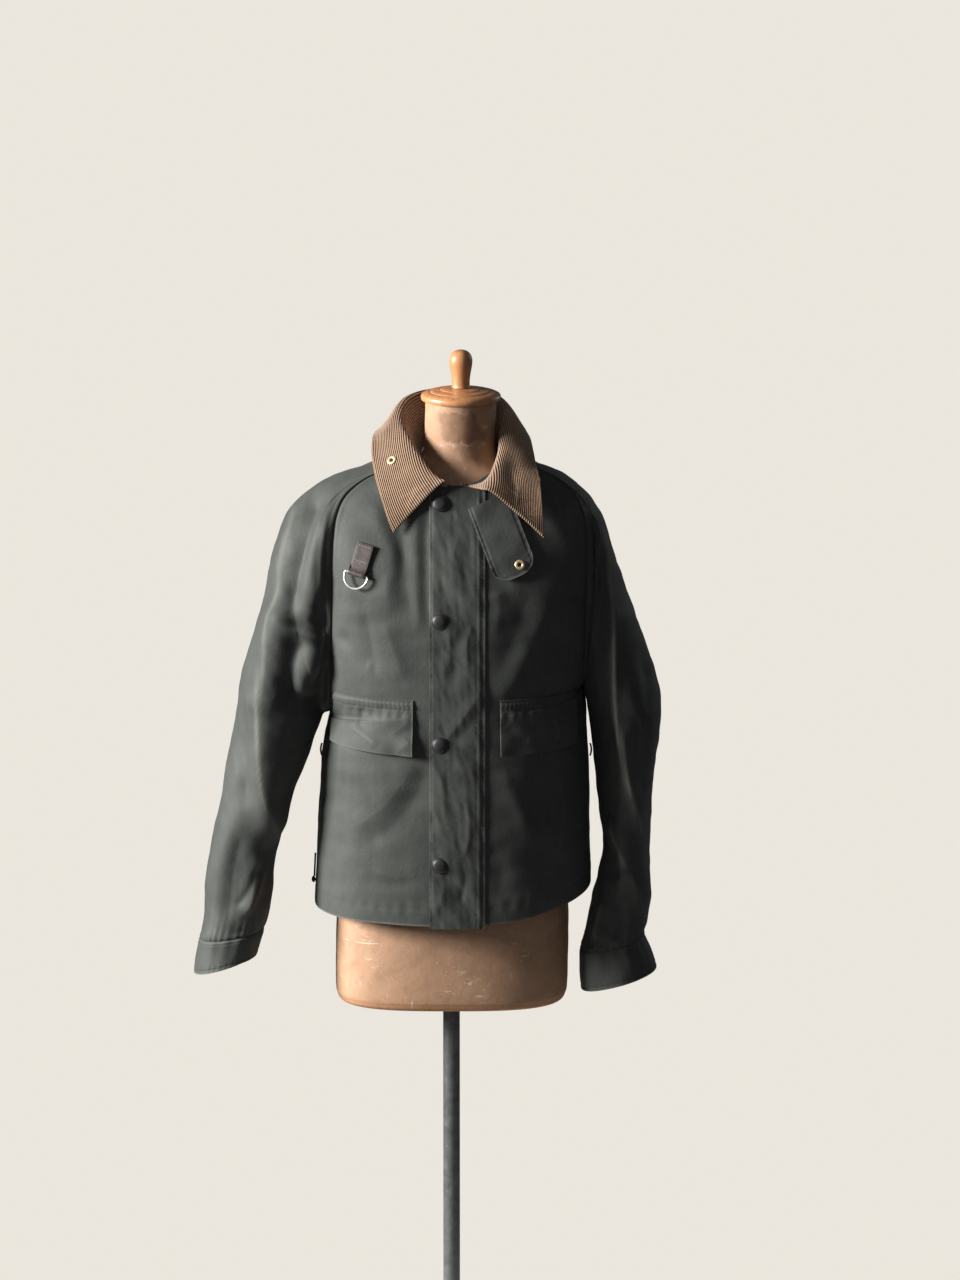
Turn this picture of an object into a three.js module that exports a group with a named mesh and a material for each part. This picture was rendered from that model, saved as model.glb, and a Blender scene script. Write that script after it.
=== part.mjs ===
// A waxed cotton field jacket worn by a limbless dress form on a pole stand.
// Millimetres, +Z up, origin on the floor under the middle of the base. The jacket faces -Y,
// so +X is the wearer's left. Cloth pieces are thin closed walls worked out from short tables.
import * as THREE from "three";

// ---------------------------------------------------------------- driving dimensions
const CLOTH = 2; // wax cloth with its turned edges
const CORDUROY = 3.2; // collar: corduroy and under-collar together
const SEAM_GAP = 0.3; // between pieces that are sewn together
const SEAM_MITRE = 1.2; // how far the inner edge of a wall is drawn back at a seam
const LAID_GAP = 0.9; // between a panel and what lies on it

const LEAN_FOOT_X = -2; // the jacket's middle at FORM_FOOT_Z, and how it leans from there
const LEAN_RATE = 0.0215;
const CENTRE_FRONT_X = 9;

const BASE_RADIUS = 170;
const BASE_THICKNESS = 16;
const BASE_BOSS_RADIUS = 26;
const BASE_BOSS_HEIGHT = 46;
const POLE_RADIUS = 12;
const FORM_FOOT_Z = 640;
const POLE_SOCKET_DEPTH = 60;
const NECK_TOP_Z = 1506;
const NECK_LEAN_X = 14; // the form's neck stands this far to the wearer's left

const FLY_LEFT_X = -30; // free edge of the storm fly
const FLY_RIGHT_X = 48; // its sewn edge
const FLY_TOP_Z = 1397;
const FLY_BOTTOM_Z = 776;

const SNAP_RADIUS = 11.8;
const SNAP_HEIGHT = 4.6;
const SNAP_X = -15;
const SNAP_HEIGHTS = [1376, 1217, 1041, 868];

const TAB_WIDTH = 25;
const TAB_LENGTH = 44;
const TAB_LEATHER = 1.9;
const RING_WIRE = 3;
const RING_WIDTH = 38;
const RING_DROP = 24;
const RING_BORE_CLEARANCE = 0.45;

const EYELET_OUTER = 7;
const EYELET_HOLE = 2.6;
const EYELET_HEIGHT = 1.3;
const THROAT_EYELET = { x: 96, z: 1294 };
const COLLAR_EYELET = { place: 2.7, across: 0.7 }; // a row of COLLAR_ROWS, and a share of the way out

const SIDE_LOOP_Z = 1000;

const COLOURS = {
  wax: 0x4b5250,
  corduroy: 0x8a6546,
  snap: 0x2b2c2f,
  brass: 0xd9c27e,
  nickel: 0xc4c6c8,
  leather: 0x4a3a36,
  form: 0xc29570,
  varnish: 0xcb8150,
  steel: 0x505557,
  cord: 0x1c1d1f,
};

// ---------------------------------------------------------------- tables
// Front panel, from the hem up: the centre front (zCentre, yCentre), the outer edge (xEdge from
// the leaning middle, yEdge, zEdge), how much of a full quarter oval the row spans, and the
// oval's power. The side seam runs to the underarm; above it the edge is the raglan seam.
const ROW_COLUMNS = ["zCentre", "yCentre", "xEdge", "yEdge", "zEdge", "span", "power", "tilt"];
const FRONT_ROWS = table(ROW_COLUMNS, [
  [779, 152, 196, 0, 797, 1, 2.6, 15],
  [800, 152, 196, 0, 815, 1, 2.6, 15],
  [850, 151, 195, 0, 858, 1, 2.6, 14],
  [926, 149, 193, 0, 930, 1, 2.6, 14],
  [999, 148, 189, 0, 1000, 1, 2.6, 15],
  [1043, 147, 185, 0, 1043, 1, 2.6, 16],
  [1062, 147, 182, 0, 1060, 1, 2.5, 17],
  [1080, 147, 179, 0, 1076, 1, 2.5, 18],
  [1110, 146, 178, 43, 1092, 0.985, 2.4, 17],
  [1140, 145, 178, 66, 1120, 0.965, 2.4, 13],
  [1190, 143, 178, 78, 1175, 0.94, 2.4, 6],
  [1237, 139, 178, 84, 1237, 0.93, 2.4, 0],
  [1280, 130, 179, 84, 1295, 0.93, 2.4, 0],
  [1318, 118, 177, 79, 1335, 0.92, 2.4, 0],
  [1345, 108, 172, 71, 1361, 0.91, 2.4, 0],
  [1366, 100, 161, 62, 1382, 0.88, 2.4, 0],
  [1382, 94, 140, 54, 1400, 0.85, 2.4, 0],
  [1392, 90, 113, 47, 1413, 0.8, 2.4, 0],
  [1397, 88, 84, 42, 1421, 0.75, 2.4, 0],
  [1400, 87, 56, 36, 1425, 0.7, 2.4, 0],
]);
const BACK_ROWS = table(ROW_COLUMNS, [
  [795, 132, 196, 0, 797, 1, 2.6, 15],
  [815, 131, 196, 0, 815, 1, 2.6, 15],
  [858, 129, 195, 0, 858, 1, 2.6, 14],
  [930, 127, 193, 0, 930, 1, 2.6, 14],
  [1000, 128, 189, 0, 1000, 1, 2.6, 15],
  [1043, 130, 185, 0, 1043, 1, 2.6, 16],
  [1062, 131, 182, 0, 1060, 1, 2.5, 17],
  [1080, 132, 179, 0, 1076, 1, 2.5, 18],
  [1108, 134, 178, 40, 1092, 0.985, 2.4, 17],
  [1140, 136, 178, 62, 1120, 0.965, 2.4, 13],
  [1190, 138, 178, 76, 1175, 0.94, 2.4, 6],
  [1245, 138, 178, 84, 1237, 0.93, 2.4, 0],
  [1300, 134, 177, 86, 1295, 0.93, 2.4, 0],
  [1345, 125, 168, 82, 1335, 0.92, 2.4, 0],
  [1380, 112, 150, 73, 1365, 0.9, 2.4, 0],
  [1405, 101, 128, 64, 1388, 0.88, 2.4, 0],
  [1422, 92, 104, 55, 1407, 0.84, 2.4, 0],
  [1434, 84, 80, 45, 1420, 0.8, 2.4, 0],
  [1440, 76, 56, 33, 1427, 0.7, 2.4, 0],
]);
const UNDERARM_ROW = 7; // in both tables

// Sleeves, from below the shoulder to the cuff seam: the outer side (xOut, zOut), the body side
// (xIn, zIn), both outwards from the wearer's middle plane x = 0, then the middle in depth, half
// the depth and the oval's power.
const SLEEVE_COLUMNS = ["xOut", "zOut", "xIn", "zIn", "yMid", "depth", "power"];
const SLEEVE_RIGHT_ROWS = table(SLEEVE_COLUMNS, [
  [244, 1317, 184, 1052, 0, 90, 2.3],
  [257, 1270, 186, 1046, -2, 89, 2.3],
  [270, 1207, 189, 1038, -4, 87, 2.3],
  [285, 1157, 193, 1027, -6, 84, 2.3],
  [298, 1106, 198, 1012, -9, 80, 2.3],
  [312, 1030, 208, 984, -13, 74, 2.2],
  [321, 979, 221, 950, -17, 68, 2.2],
  [333, 916, 239, 900, -22, 60, 2.2],
  [344, 860, 251, 852, -27, 54, 2.2],
  [350, 800, 255, 800, -32, 50, 2.2],
  [354, 762, 261, 770, -36, 48, 2.3],
  [359, 733, 268, 749, -38, 47, 2.3],
]);
const CUFF_RIGHT_ROWS = table(SLEEVE_COLUMNS, [
  [359, 733, 268, 749, -38, 47, 2.3],
  [363, 709, 272, 732, -39, 47, 2.3],
  [367, 684, 277, 713, -40, 47, 2.3],
]);
const SLEEVE_LEFT_ROWS = table(SLEEVE_COLUMNS, [
  [218, 1330, 190, 1086, 0, 88, 2.3],
  [232, 1283, 193, 1078, -2, 88, 2.3],
  [247, 1238, 195, 1068, -4, 86, 2.3],
  [262, 1197, 197, 1056, -6, 84, 2.3],
  [280, 1146, 199, 1040, -9, 81, 2.3],
  [297, 1088, 201, 1018, -13, 77, 2.3],
  [297, 1045, 203, 996, -16, 73, 2.2],
  [291, 990, 206, 960, -19, 68, 2.2],
  [285, 930, 211, 915, -23, 62, 2.2],
  [282, 875, 215, 872, -27, 58, 2.2],
  [285, 830, 208, 828, -30, 56, 2.2],
  [287, 794, 198, 785, -33, 54, 2.2],
  [279, 757, 191, 748, -35, 52, 2.3],
  [275, 737, 185, 719, -37, 51, 2.3],
]);
const CUFF_LEFT_ROWS = table(SLEEVE_COLUMNS, [
  [275, 737, 185, 719, -37, 51, 2.3],
  [284, 715, 184, 692, -38, 53, 2.3],
  [292, 690, 185, 660, -39, 53, 2.3],
]);

// Collar, from the front end of the wearer's right leaf round the back of the neck to the front
// end of the left leaf: on the neckline, at the roll and at the free edge.
const COLLAR_COLUMNS = ["nx", "ny", "nz", "rx", "ry", "rz", "ex", "ey", "ez"];
const COLLAR_ROWS = table(COLLAR_COLUMNS, [
  [-6, -92, 1402, -9, -98, 1408, -80, -112, 1338],
  [-22, -84, 1408, -30, -84, 1428, -88, -108, 1356],
  [-34, -68, 1416, -46, -62, 1447, -97, -92, 1382],
  [-42, -42, 1426, -60, -36, 1464, -107, -62, 1412],
  [-46, -8, 1433, -73, 0, 1484, -112, -24, 1444],
  [-42, 30, 1437, -68, 40, 1501, -104, 26, 1458],
  [-22, 58, 1441, -42, 72, 1511, -70, 74, 1462],
  [13, 70, 1444, 10, 88, 1514, 12, 104, 1460],
  [48, 58, 1441, 56, 66, 1509, 84, 76, 1458],
  [68, 30, 1437, 72, 32, 1502, 108, 30, 1452],
  [73, -6, 1433, 71, -2, 1484, 116, -20, 1438],
  [70, -36, 1426, 67, -34, 1458, 122, -62, 1408],
  [64, -62, 1416, 62, -64, 1436, 127, -90, 1374],
  [50, -84, 1406, 58, -88, 1414, 130, -106, 1350],
  [30, -92, 1399, 50, -104, 1398, 130, -116, 1332],
]);

// Dress form, from its foot to the shoulder: half width, front and back depth, power.
const FORM_COLUMNS = ["z", "halfWidth", "front", "back", "power"];
const FORM_ROWS = table(FORM_COLUMNS, [
  [640, 152, 98, 92, 3],
  [643, 160, 106, 100, 3],
  [650, 164, 110, 104, 3],
  [670, 166, 112, 106, 3],
  [780, 165, 112, 108, 2.8],
  [880, 150, 104, 104, 2.6],
  [980, 132, 98, 92, 2.5],
  [1080, 136, 104, 96, 2.4],
  [1180, 146, 118, 104, 2.4],
  [1270, 150, 116, 106, 2.4],
  [1330, 152, 98, 98, 2.4],
  [1368, 146, 84, 88, 2.3],
  [1392, 127, 72, 74, 2.2],
  [1408, 98.5, 62, 64, 2.1],
  [1420, 70, 54, 54, 2],
  [1434, 52, 50, 49, 2],
  [1460, 50, 50, 48, 2],
  [NECK_TOP_Z, 50, 50, 50, 2],
]);

// ---------------------------------------------------------------- small tools
function table(columns, rows) {
  return rows.map((row) => Object.fromEntries(columns.map((name, i) => [name, row[i]])));
}

function lerp(a, b, t) {
  return a + (b - a) * t;
}

// A row at a fractional place in a table, on a smooth curve through its rows.
function sample(rows, place) {
  const last = rows.length - 1;
  const i = Math.min(Math.max(Math.floor(place), 0), last - 1);
  const t = place - i;
  const at = (k) => rows[Math.min(Math.max(k, 0), last)];
  const out = {};
  for (const name of Object.keys(rows[0])) {
    const [a, b, c, d] = [at(i - 1)[name], at(i)[name], at(i + 1)[name], at(i + 2)[name]];
    const into = (c - a) / 2;
    const outof = (d - b) / 2;
    out[name] =
      (2 * t ** 3 - 3 * t ** 2 + 1) * b +
      (t ** 3 - 2 * t ** 2 + t) * into +
      (-2 * t ** 3 + 3 * t ** 2) * c +
      (t ** 3 - t ** 2) * outof;
  }
  return out;
}

// Places between two table rows that are evenly spaced along a curve.
function evenPlaces(curve, from, to, steps) {
  const FINE = 240;
  const lengths = [0];
  let before = curve(from);
  for (let k = 1; k <= FINE; k += 1) {
    const here = curve(lerp(from, to, k / FINE));
    lengths.push(lengths[k - 1] + here.distanceTo(before));
    before = here;
  }
  const places = [];
  for (let s = 0; s <= steps; s += 1) {
    const target = (lengths[FINE] * s) / steps;
    let k = lengths.findIndex((length) => length >= target - 1e-9);
    k = Math.max(k, 1);
    const part = (target - lengths[k - 1]) / (lengths[k] - lengths[k - 1]);
    places.push(lerp(from, to, (k - 1 + part) / FINE));
  }
  return places;
}

function signedPower(value, power) {
  return Math.sign(value) * Math.abs(value) ** power;
}

// Triangles of a closed body, turned so that its faces point out.
function closedGeometry(points, triangles) {
  let volume = 0;
  const cross = new THREE.Vector3();
  for (const [a, b, c] of triangles) {
    volume += cross.crossVectors(points[b], points[c]).dot(points[a]);
  }
  const order = volume < 0 ? triangles.map(([a, b, c]) => [a, c, b]) : triangles;
  const geometry = new THREE.BufferGeometry();
  geometry.setAttribute(
    "position",
    new THREE.Float32BufferAttribute(points.flatMap((p) => [p.x, p.y, p.z]), 3),
  );
  geometry.setIndex(order.flat());
  geometry.computeVertexNormals();
  return geometry;
}

// Normals of a grid of points, one for each, all turned away from the point inside.
function gridNormals(grid, around, inside) {
  const rows = grid.length;
  const columns = grid[0].length;
  return grid.map((row, j) =>
    row.map((point, i) => {
      const left = around ? row[(i + columns - 1) % columns] : row[Math.max(i - 1, 0)];
      const right = around ? row[(i + 1) % columns] : row[Math.min(i + 1, columns - 1)];
      const below = grid[Math.max(j - 1, 0)][i];
      const above = grid[Math.min(j + 1, rows - 1)][i];
      const across = new THREE.Vector3().subVectors(right, left);
      const along = new THREE.Vector3().subVectors(above, below);
      const normal = across.cross(along).normalize();
      const outward = new THREE.Vector3().subVectors(point, inside(point));
      return normal.dot(outward) < 0 ? normal.negate() : normal;
    }),
  );
}

// A closed wall: outer and inner grids of the same size, joined round their edges.
function shell(outer, inner, around) {
  const rows = outer.length;
  const columns = outer[0].length;
  const points = [...outer.flat(), ...inner.flat()];
  const offset = rows * columns;
  const id = (j, i) => j * columns + (i % columns);
  const triangles = [];
  const quad = (a, b, c, d) => triangles.push([a, b, c], [a, c, d]);
  const spans = around ? columns : columns - 1;
  for (let j = 0; j < rows - 1; j += 1) {
    for (let i = 0; i < spans; i += 1) {
      const corners = [id(j, i), id(j, i + 1), id(j + 1, i + 1), id(j + 1, i)];
      quad(...corners);
      quad(...corners.map((k) => k + offset).reverse());
    }
  }
  for (let i = 0; i < spans; i += 1) {
    quad(id(0, i), id(0, i) + offset, id(0, i + 1) + offset, id(0, i + 1));
    quad(id(rows - 1, i + 1), id(rows - 1, i + 1) + offset, id(rows - 1, i) + offset, id(rows - 1, i));
  }
  if (!around) {
    for (let j = 0; j < rows - 1; j += 1) {
      quad(id(j + 1, 0), id(j + 1, 0) + offset, id(j, 0) + offset, id(j, 0));
      quad(
        id(j, columns - 1),
        id(j, columns - 1) + offset,
        id(j + 1, columns - 1) + offset,
        id(j + 1, columns - 1),
      );
    }
  }
  return closedGeometry(points, triangles);
}

// Draws the outline of a grid in by a distance, square to its edge, so that sewn pieces keep
// their gap.
function drawIn(grid, distance, around) {
  const rows = grid.length;
  const columns = grid[0].length;
  const column = (i) => (around ? (i + columns) % columns : Math.min(Math.max(i, 0), columns - 1));
  return grid.map((row, j) =>
    row.map((point, i) => {
      const moved = point.clone();
      const towards = (neighbour, before, after) => {
        const edge = new THREE.Vector3().subVectors(after, before).normalize();
        const step = new THREE.Vector3().subVectors(neighbour, point);
        step.addScaledVector(edge, -step.dot(edge)).normalize();
        moved.addScaledVector(step, distance);
      };
      const beside = [row[column(i - 1)], row[column(i + 1)]];
      const upDown = [grid[Math.max(j - 1, 0)][i], grid[Math.min(j + 1, rows - 1)][i]];
      if (j === 0) towards(grid[1][i], ...beside);
      if (j === rows - 1) towards(grid[rows - 2][i], ...beside);
      if (!around && i === 0) towards(row[1], ...upDown);
      if (!around && i === columns - 1) towards(row[columns - 2], ...upDown);
      return moved;
    }),
  );
}

// Cloth of a given thickness whose outer face is the grid.
function clothWall(grid, { thickness = CLOTH, around = false, inside, mitre = SEAM_MITRE }) {
  const outer = drawIn(grid, SEAM_GAP / 2, around);
  const normals = gridNormals(outer, around, inside);
  const inner = outer.map((row, j) =>
    row.map((point, i) => point.clone().addScaledVector(normals[j][i], -thickness)),
  );
  return shell(outer, drawIn(inner, mitre, around), around);
}

function mesh(name, geometry, colour, roughness, metalness = 0) {
  const material = new THREE.MeshStandardMaterial({ color: colour, roughness, metalness });
  const made = new THREE.Mesh(geometry, material);
  made.name = name;
  return made;
}

// ---------------------------------------------------------------- the jacket's body
function middleX(z) {
  return LEAN_FOOT_X + LEAN_RATE * (z - FORM_FOOT_Z);
}

function middleOf(point) {
  return new THREE.Vector3(middleX(point.z), 0, point.z);
}

// How far a row still stands forward at t, from 1 at the middle to 0 at its outer edge.
function bow(t, span, power) {
  const height = (s) => Math.max(1 - s ** power, 0) ** (1 / power);
  const edge = height(Math.min(span, 1));
  return (height(Math.min(t * span, 1)) - edge) / (1 - edge);
}

// A point of the front (facing -1) or back (facing 1), at a place up the table and t across.
function bodyPoint(rows, facing, side, place, t) {
  const row = sample(rows, place);
  const zEdge = row.zEdge + side * row.tilt;
  const centreX = facing < 0 ? CENTRE_FRONT_X : middleX(row.zCentre);
  const x = lerp(centreX, middleX(row.zEdge) + side * row.xEdge, t);
  const y = facing * lerp(row.yEdge, row.yCentre, bow(t, row.span, row.power));
  return new THREE.Vector3(x, y, lerp(row.zCentre, zEdge, t * t));
}

function frontPoint(side, place, t) {
  return bodyPoint(FRONT_ROWS, -1, side, place, t);
}

function backPoint(side, place, t) {
  return bodyPoint(BACK_ROWS, 1, side, place, t);
}

const LOWER_STEPS = 8; // wall rows from hem to underarm
const RAGLAN_STEPS = 11; // and from underarm to neckline, shared with the sleeve
const ACROSS_STEPS = 9;

// The places of a panel's wall rows: all of them, and those along the raglan seam.
function panelPlaces(point, rows) {
  const last = rows.length - 1;
  const edge = (place) => point(1, place, 1);
  const lower = evenPlaces(edge, 0, UNDERARM_ROW, LOWER_STEPS);
  const upper = evenPlaces(edge, UNDERARM_ROW, last, RAGLAN_STEPS);
  return { upper, all: [...lower, ...upper.slice(1)] };
}

const FRONT_PLACES = panelPlaces(frontPoint, FRONT_ROWS);
const BACK_PLACES = panelPlaces(backPoint, BACK_ROWS);

function across(step, steps) {
  return Math.sin((step / steps) * (Math.PI / 2));
}

function frontPanel(side) {
  const grid = FRONT_PLACES.all.map((place) => {
    const row = [];
    for (let i = 0; i <= ACROSS_STEPS; i += 1) {
      row.push(frontPoint(side, place, across(i, ACROSS_STEPS)));
    }
    return row;
  });
  return clothWall(grid, { inside: middleOf });
}

function backPanel() {
  const grid = BACK_PLACES.all.map((place) => {
    const row = [];
    for (let i = -ACROSS_STEPS; i <= ACROSS_STEPS; i += 1) {
      row.push(backPoint(Math.sign(i) || 1, place, across(Math.abs(i), ACROSS_STEPS)));
    }
    return row;
  });
  return clothWall(grid, { inside: middleOf });
}

const HALVINGS = 30; // enough to find a height to a thousandth of a millimetre

// A point of the front at a given x and height.
function frontAt(x, z) {
  const side = x < CENTRE_FRONT_X ? -1 : 1;
  let low = 0;
  let high = FRONT_ROWS.length - 1;
  let point;
  for (let k = 0; k < HALVINGS; k += 1) {
    const place = (low + high) / 2;
    const edgeX = frontPoint(side, place, 1).x;
    const t = Math.min((x - CENTRE_FRONT_X) / (edgeX - CENTRE_FRONT_X), 1);
    point = frontPoint(side, place, t);
    if (point.z < z) low = place;
    else high = place;
  }
  return point;
}

const LOWEST_MEASURED_Z = 815; // below this the front hangs straight down
const NORMAL_STEP = 4;

function frontNormal(x, z) {
  const height = Math.max(z, LOWEST_MEASURED_Z) + NORMAL_STEP;
  const toLeft = frontAt(x + NORMAL_STEP, height).sub(frontAt(x - NORMAL_STEP, height));
  const up = frontAt(x, height + NORMAL_STEP).sub(frontAt(x, height - NORMAL_STEP));
  return toLeft.cross(up).normalize();
}

// A point of the front at x and z, moved out along its normal.
function overFront(x, z, lift) {
  const point = frontAt(x, Math.max(z, LOWEST_MEASURED_Z));
  point.z += Math.min(z - LOWEST_MEASURED_Z, 0);
  return point.addScaledVector(frontNormal(x, z), lift);
}

// A piece laid on the front: its outline is given by where(u, v), and lift says how far its outer
// face stands off the panel.
function laidPiece(where, lift, columns, rows, options = {}) {
  const grid = [];
  for (let j = 0; j <= rows; j += 1) {
    const row = [];
    for (let i = 0; i <= columns; i += 1) {
      const [x, z] = where(i / columns, j / rows);
      row.push(overFront(x, z, lift(i / columns, j / rows)));
    }
    grid.push(row);
  }
  return clothWall(grid, { inside: middleOf, mitre: 0, ...options });
}

// ---------------------------------------------------------------- sleeves
const ARMHOLE_STEPS = RAGLAN_STEPS + 1; // ring steps from the neck to the underarm, each way
const SHOULDER_STEPS = 6;
const ARM_STEPS = 12;
const NECK_SIDE_Z = 1430;
const NECK_SIDE_X = 63;

// The raglan seam as a closed ring: neck side, down the front, underarm, up the back.
function raglanRing(side) {
  const top = new THREE.Vector3(middleX(NECK_SIDE_Z) + side * NECK_SIDE_X, -2, NECK_SIDE_Z);
  const front = FRONT_PLACES.upper.map((place) => frontPoint(side, place, 1)).reverse();
  const back = BACK_PLACES.upper.map((place) => backPoint(side, place, 1));
  return [top, ...front, ...back.slice(1)];
}

function sleeveOval(row, side) {
  const ring = [];
  const points = 2 * ARMHOLE_STEPS;
  for (let i = 0; i < points; i += 1) {
    const angle = (i / points) * 2 * Math.PI;
    const along = signedPower(Math.cos(angle), 2 / row.power);
    const deep = signedPower(Math.sin(angle), 2 / row.power);
    ring.push(
      new THREE.Vector3(
        side * lerp(row.xIn, row.xOut, (1 + along) / 2),
        row.yMid - row.depth * deep,
        lerp(row.zIn, row.zOut, (1 + along) / 2),
      ),
    );
  }
  return ring;
}

// Directions in which the cloth leaves the raglan seam and enters the arm.
function leaving(side, i) {
  const top = (1 + Math.cos((i / ARMHOLE_STEPS) * Math.PI)) / 2;
  const deep = Math.sin((i / ARMHOLE_STEPS) * Math.PI);
  const drop = lerp(-0.9, -0.25, Math.sqrt(top));
  return new THREE.Vector3(side, -0.22 * deep, drop).normalize();
}

function entering(side, i) {
  const deep = Math.sin((i / ARMHOLE_STEPS) * Math.PI);
  return new THREE.Vector3(side * 0.3, 0.05 * deep, -1).normalize();
}

function shoulderRing(from, to, side, t) {
  const h = [
    2 * t ** 3 - 3 * t ** 2 + 1,
    t ** 3 - 2 * t ** 2 + t,
    -2 * t ** 3 + 3 * t ** 2,
    t ** 3 - t ** 2,
  ];
  return from.map((start, i) => {
    const end = to[i];
    const reach = start.distanceTo(end) * 1.05;
    const point = start.clone().multiplyScalar(h[0]);
    point.addScaledVector(leaving(side, i), h[1] * reach);
    point.addScaledVector(end, h[2]);
    point.addScaledVector(entering(side, i), h[3] * reach);
    return point;
  });
}

function sleeveAxis(rows, side) {
  return (point) => {
    let nearest = null;
    for (let place = 0; place <= rows.length - 1; place += 0.25) {
      const row = sample(rows, place);
      const middle = new THREE.Vector3(
        (side * (row.xIn + row.xOut)) / 2,
        row.yMid,
        (row.zIn + row.zOut) / 2,
      );
      const distance = middle.distanceTo(point);
      if (!nearest || distance < nearest.distance) nearest = { middle, distance };
    }
    return nearest.middle;
  };
}

function sleeve(rows, side) {
  const seam = raglanRing(side);
  const first = sleeveOval(rows[0], side);
  const grid = [];
  for (let j = 0; j < SHOULDER_STEPS; j += 1) {
    grid.push(shoulderRing(seam, first, side, j / SHOULDER_STEPS));
  }
  for (let j = 0; j <= ARM_STEPS; j += 1) {
    grid.push(sleeveOval(sample(rows, ((rows.length - 1) * j) / ARM_STEPS), side));
  }
  return clothWall(grid, { around: true, inside: sleeveAxis(rows, side) });
}

function cuff(rows, side) {
  const STEPS = 3;
  const grid = [];
  for (let j = 0; j <= STEPS; j += 1) {
    grid.push(sleeveOval(sample(rows, ((rows.length - 1) * j) / STEPS), side));
  }
  return clothWall(grid, { around: true, inside: sleeveAxis(rows, side), mitre: 0.3 });
}

// ---------------------------------------------------------------- collar
// How far the outer faces of the layers on the chest stand off it.
const FLY_LIFT = LAID_GAP + CLOTH;
const FLAP_LIFT = FLY_LIFT + LAID_GAP + CLOTH;
const RIGHT_LEAF_LIFT = LAID_GAP + CORDUROY / 2 + 0.8; // of the middle of the leaf's cloth
const LEFT_LEAF_LIFT = FLAP_LIFT + LAID_GAP + CORDUROY / 2;

const ROLL_RADIUS = 6;
const STAND_SHARE = 0.55; // where the stand's own point lies between the neckline and the roll
const FALL_FULLNESS = 3; // how far the fall bows out at its middle

// Across the collar: neckline, stand, roll, fall and free edge.
function collarLine(row) {
  const neck = new THREE.Vector3(row.nx, row.ny, row.nz);
  const roll = new THREE.Vector3(row.rx, row.ry, row.rz);
  const edge = new THREE.Vector3(row.ex, row.ey, row.ez);
  const up = roll.clone().sub(neck);
  const out = edge.clone().sub(roll);
  const sideways = out.clone().setZ(0).normalize();
  const reach = Math.min(ROLL_RADIUS, up.length() * 0.4);
  const stand = neck.clone().addScaledVector(up, STAND_SHARE);
  const intoRoll = roll.clone().addScaledVector(up.normalize(), -reach);
  intoRoll.addScaledVector(sideways, -reach * 0.35);
  const outOfRoll = roll.clone().addScaledVector(sideways, reach * 1.1);
  outOfRoll.z -= reach * 0.5;
  const fall = roll.clone().addScaledVector(out, 0.5).addScaledVector(sideways, FALL_FULLNESS);
  const points = [neck, stand, intoRoll, roll, outOfRoll, fall, edge];
  return new THREE.CatmullRomCurve3(points, false, "centripetal");
}

// Keeps the middle of a leaf off the chest, and off what lies on it under the left leaf.
function clearOfChest(point, s) {
  const FRONT_ONLY_Y = -20;
  const LEAF_FROM = 0.5; // the share of the way across where the leaf begins
  const PASSES = 4; // the shoulder is round, so one push isn't enough
  if (point.y > FRONT_ONLY_Y || s < LEAF_FROM) return point;
  const lift = point.x < 0 ? RIGHT_LEAF_LIFT : LEFT_LEAF_LIFT;
  for (let k = 0; k < PASSES; k += 1) {
    const normal = frontNormal(point.x, point.z);
    const height = point.clone().sub(frontAt(point.x, point.z)).dot(normal);
    if (height < lift) point.addScaledVector(normal, lift - height);
  }
  return point;
}

// The middle of the collar's cloth, at a place round the neck and a share s of the way across.
function collarPoint(place, s) {
  return clearOfChest(collarLine(sample(COLLAR_ROWS, place)).getPointAt(s), s);
}

function collarNormal(place, s) {
  const STEP = 0.02;
  const round = collarPoint(place + STEP, s).sub(collarPoint(place - STEP, s));
  const over = collarPoint(place, s + STEP).sub(collarPoint(place, s - STEP));
  return round.cross(over).normalize();
}

function collar() {
  const AROUND_STEPS = 34;
  const LINE_STEPS = 9;
  const grid = [];
  for (let j = 0; j <= AROUND_STEPS; j += 1) {
    const place = ((COLLAR_ROWS.length - 1) * j) / AROUND_STEPS;
    const row = [];
    for (let i = 0; i <= LINE_STEPS; i += 1) row.push(collarPoint(place, i / LINE_STEPS));
    grid.push(row);
  }
  const normals = gridNormals(grid, false, () => new THREE.Vector3());
  // one normal for the whole strip, carried from each point to the next without turning over
  for (let j = 0; j < grid.length; j += 1) {
    for (let i = 0; i < grid[0].length; i += 1) {
      const before = i > 0 ? normals[j][i - 1] : j > 0 ? normals[j - 1][0] : null;
      if (before && normals[j][i].dot(before) < 0) normals[j][i].negate();
    }
  }
  const moved = (distance) =>
    grid.map((row, j) =>
      row.map((point, i) => point.clone().addScaledVector(normals[j][i], distance)),
    );
  return shell(moved(CORDUROY / 2), moved(-CORDUROY / 2), false);
}

// ---------------------------------------------------------------- pieces laid on the fronts

function stormFly() {
  return laidPiece(
    (u, v) => [lerp(FLY_LEFT_X, FLY_RIGHT_X, u), lerp(FLY_BOTTOM_Z, FLY_TOP_Z, v)],
    () => FLY_LIFT,
    4,
    24,
  );
}

// The throat flap hangs from under the left leaf, a tongue with round lower corners.
const THROAT_FLAP = { topX: 52, topZ: 1380, endX: 93, endZ: 1278, halfWidth: 30, corner: 22 };

function throatFlapPlace(u, v) {
  const { topX, topZ, endX, endZ, halfWidth, corner } = THROAT_FLAP;
  const along = new THREE.Vector2(endX - topX, endZ - topZ);
  const length = along.length();
  along.normalize();
  const side = new THREE.Vector2(-along.y, along.x);
  const s = 2 * u - 1;
  const rounding = corner * (1 - Math.sqrt(1 - Math.abs(s) ** 3));
  const down = v * length - rounding * v ** 3;
  return [
    topX + along.x * down + side.x * s * halfWidth,
    topZ + along.y * down + side.y * s * halfWidth,
  ];
}

function throatFlap() {
  return laidPiece(throatFlapPlace, () => FLAP_LIFT, 6, 8);
}

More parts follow.
